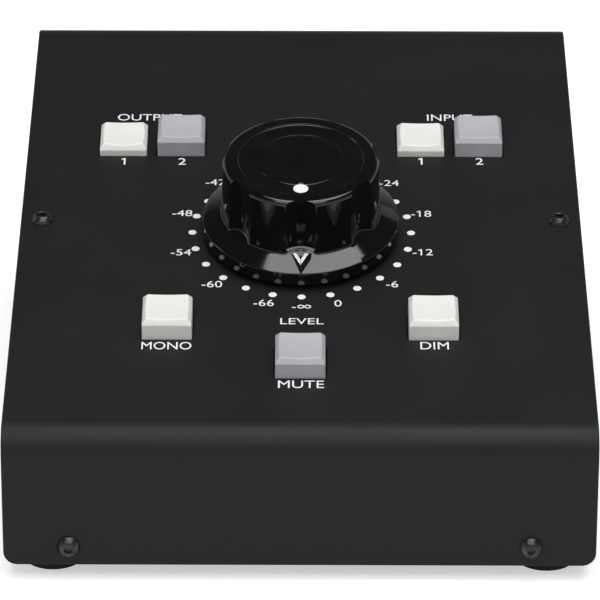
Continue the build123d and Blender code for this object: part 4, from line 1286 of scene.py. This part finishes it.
# finishes inside the case: name, light and dark colour, lowest and highest roughness, then patch, grain
# and relief in millimetres, other settings, and the nodes that have them
FINISHES = (
    # zinc plate with clear passivation: cool grey with a faint cloudiness
    (
        "steel_zinc_plated", "#C3C7CC", "#9DA2A8", (0.25, 0.45), 2.5, 0.2, 0.004, METAL,
        (
            "clinch_nuts", "foot_screws", "board_screws", "board_standoffs", "clamp_bolts",
            "attenuator_back_plate", "attenuator_washer", "attenuator_nut",
        ),
    ),
    # die-cast zinc, tumbled: dull grey with a fine pebbled skin
    ("zinc_die_cast", "#9A9C9F", "#7C7E82", (0.42, 0.6), 5, 0.4, 0.02, METAL, ("detent_housing",)),
    (
        "brass_turned", "#C9A55C", "#A8843F", (0.2, 0.36), 2, 0.15, 0.005,
        {"stretch": (1, 1, 6), **METAL}, ("detent_wheel", "knob_bush"),
    ),
    (
        "steel_ground", "#B9BABD", "#94969A", (0.14, 0.28), 2, 0.1, 0.002,
        {"stretch": (1, 1, 8), **METAL}, ("attenuator_shaft", "detent_balls"),
    ),
    ("spring_steel_blued", "#6E7480", "#50555F", (0.22, 0.38), 2, 0.2, 0.003, METAL, ("detent_spring",)),
    (
        "wire_tinned_copper", "#C8C8C6", "#A5A5A2", (0.3, 0.5), 1, 0.2, 0.006, METAL,
        ("switch_pins", "jack_pins"),
    ),
    (
        "aluminium_tube_drawn", "#C6C8CB", "#A9ABAE", (0.28, 0.42), 2, 0.1, 0.004,
        {"stretch": (6, 6, 1), **METAL}, ("wafer_spacers",),
    ),
    # paper laminate bonded with phenolic resin: brown, with paper fibres in it
    (
        "phenolic_paper_laminate", "#8A5A34", "#6B4225", (0.35, 0.55), 3, 0.35, 0.008,
        {"stretch": (1, 4, 4), "IOR": 1.6}, ("wafer_upper", "wafer_lower"),
    ),
    (
        "acetal_natural", "#E4E2D9", "#D2CFC4", (0.3, 0.45), 3, 0.25, 0.005, {"IOR": 1.48},
        ("wafer_rotors", *(f"plunger_{name}" for name in BUTTONS)),
    ),
    (
        "nylon_black_moulded", "#202022", "#141416", (0.4, 0.58), 4, 0.25, 0.008, PLASTIC,
        ("ribbon_headers", "ribbon_sockets", *(f"switch_{name}" for name in BUTTONS)),
    ),
    (
        "chip_resistor_glaze", "#26282B", "#16181A", (0.25, 0.4), 0.8, 0.15, 0.005, {"IOR": 1.6},
        ("ladder_resistors",),
    ),
    (
        "wire_sheath_grey_pvc", "#6A6C70", "#565859", (0.4, 0.55), 3, 0.3, 0.006, PLASTIC,
        ("attenuator_leads",),
    ),
    (
        "set_screw_black_oxide", "#2A2A2C", "#171719", (0.28, 0.42), 1, 0.12, 0.004, {"Metallic": 0.85},
        ("knob_set_screw",),
    ),
)


class InsideStep(bpy.types.Operator):
    """Give the boards, switches, attenuator and wiring inside the case their materials."""

    bl_idname = "controller.dress_inside"
    bl_label = "Inside"

    def execute(self, context):
        board = circuit_board()
        dress("control_board", board)
        dress("jack_board", board)
        dress("attenuator_bushing", threaded("bushing_nickel_on_brass", "Z"))
        dress("ribbon_cable", flat_cable())
        for name, light, dark, roughness, patch, grain, relief, settings, names in FINISHES:
            material = grained(
                name, colour(light), colour(dark), roughness, patch, grain, relief, **settings
            )
            for node in names:
                dress(node, material)
        return {"FINISHED"}


class StageStep(bpy.types.Operator):
    """Set the camera, the lamps, the room and the floor."""

    bl_idname = "controller.set_stage"
    bl_label = "Stage"

    def execute(self, context):
        sizes = context.scene.controller_stage
        camera = bpy.data.cameras.new("camera")
        camera.sensor_fit = "HORIZONTAL"
        camera.sensor_width = 36.0
        camera.lens = sizes.lens
        camera.clip_start = 0.01
        holder = linked("camera", camera)
        right, up = Vector(sizes.camera_right), Vector(sizes.camera_up)
        turn = Matrix((right, up, right.cross(up))).transposed().to_4x4()
        holder.matrix_world = Matrix.Translation(sizes.camera_place) @ turn
        context.scene.camera = holder
        for name, (place, target, size, power) in LAMPS.items():
            self.lamp(name, place, target, size, power * sizes.light)
        self.floor(sizes)
        self.room(context, sizes)
        context.scene.view_settings.view_transform = "Standard"
        return {"FINISHED"}

    def lamp(self, name, place, target, size, power):
        """A rectangular softbox that looks at a point."""
        light = bpy.data.lights.new(name, "AREA")
        light.shape = "RECTANGLE"
        light.size, light.size_y = size
        light.energy = power
        holder = linked(name, light)
        holder.location = place
        holder.rotation_euler = (Vector(target) - Vector(place)).to_track_quat("-Z", "Y").to_euler()

    def background_rays(self, tree):
        """1 for the camera's rays, and for all those that see the pale background: camera, gloss, glass."""
        path = add(tree, "ShaderNodeLightPath").outputs
        camera = path["Is Camera Ray"]
        first = calculated(tree, "MAXIMUM", camera, path["Is Glossy Ray"])
        return camera, calculated(tree, "MAXIMUM", first, path["Is Transmission Ray"])

    def floor(self, sizes):
        """A wide pale floor that keeps a soft shadow."""
        material = bpy.data.materials.new("floor_paper_roll")
        tree = cleared(material)
        camera, seen = self.background_rays(tree)
        paper = add(tree, "ShaderNodeBsdfDiffuse", inputs={"Color": sizes.floor}).outputs[0]
        faint = calculated(tree, "MULTIPLY", seen, sizes.floor_glow)
        lift = calculated(tree, "MULTIPLY_ADD", camera, sizes.floor_lift, faint)
        glow = add(tree, "ShaderNodeEmission", inputs={"Color": (1, 1, 1, 1), "Strength": lift}).outputs[0]
        total = add(tree, "ShaderNodeAddShader", inputs={0: paper, 1: glow})
        add(tree, "ShaderNodeOutputMaterial", inputs={"Surface": total.outputs[0]})
        corners = [(x * FLOOR_REACH, y * FLOOR_REACH, 0) for x, y in ((-1, -1), (1, -1), (1, 1), (-1, 1))]
        mesh = bpy.data.meshes.new("floor")
        mesh.from_pydata(corners, [], [(0, 1, 2, 3)])
        mesh.materials.append(material)
        floor = linked("floor", mesh)

    def room(self, context, sizes):
        """A room: white to the camera, pale near the floor and dim overhead in gloss, brighter in front."""
        world = bpy.data.worlds.new("room")
        tree = cleared(world)
        camera, seen = self.background_rays(tree)
        way = add(tree, "ShaderNodeTexCoord").outputs["Generated"]
        rise = add(tree, "ShaderNodeSeparateXYZ", inputs={0: way}).outputs[2]
        dim = remapped(tree, rise, DIM_FROM, DIM_TO, sizes.gloss_low, sizes.gloss_high)
        gloss = calculated(tree, "MAXIMUM", dim, camera)
        front = add(tree, "ShaderNodeVectorMath", {"operation": "DOT_PRODUCT"}, {0: way, 1: ROOM_FRONT})
        ahead = front.outputs[1]
        spread = remapped(tree, ahead, FRONT_FROM, FRONT_TO, sizes.room_behind, sizes.room_front)
        level = averaged(tree, seen, spread, gloss)
        light = add(tree, "ShaderNodeBackground", inputs={"Color": (1, 1, 1, 1), "Strength": level})
        add(tree, "ShaderNodeOutputWorld", inputs={"Surface": light.outputs[0]})
        context.scene.world = world


GROUPS = {
    "controller_case": CaseSizes,
    "controller_dial": DialSizes,
    "controller_knob": KnobSizes,
    "controller_caps": CapSizes,
    "controller_rear": RearSizes,
    "controller_stage": StageSizes,
}
STEPS = (CaseStep, DialStep, KnobStep, CapStep, RearStep, InsideStep, StageStep)


class ControllerPanel(bpy.types.Panel):
    """The steps and their sizes, in the 3D view's sidebar."""

    bl_idname = "VIEW3D_PT_controller"
    bl_label = "Monitor Controller"
    bl_space_type = "VIEW_3D"
    bl_region_type = "UI"
    bl_category = "Controller"

    def draw(self, context):
        for step in STEPS:
            self.layout.operator(step.bl_idname)
        for name, group in GROUPS.items():
            box = self.layout.box()
            for field in group.__annotations__:
                box.prop(getattr(context.scene, name), field)


def register():
    """Register the sizes, the steps and the panel."""
    for name, group in GROUPS.items():
        bpy.utils.register_class(group)
        setattr(bpy.types.Scene, name, PointerProperty(type=group))
    for step in STEPS:
        bpy.utils.register_class(step)
    bpy.utils.register_class(ControllerPanel)


def unregister():
    """Take the panel, the steps and the sizes back out."""
    bpy.utils.unregister_class(ControllerPanel)
    for step in reversed(STEPS):
        bpy.utils.unregister_class(step)
    for name, group in reversed(GROUPS.items()):
        delattr(bpy.types.Scene, name)
        bpy.utils.unregister_class(group)


def main():
    """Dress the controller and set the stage."""
    register()
    for step in STEPS:
        group, name = step.bl_idname.split(".")
        getattr(getattr(bpy.ops, group), name)()


if __name__ == "__main__":
    main()
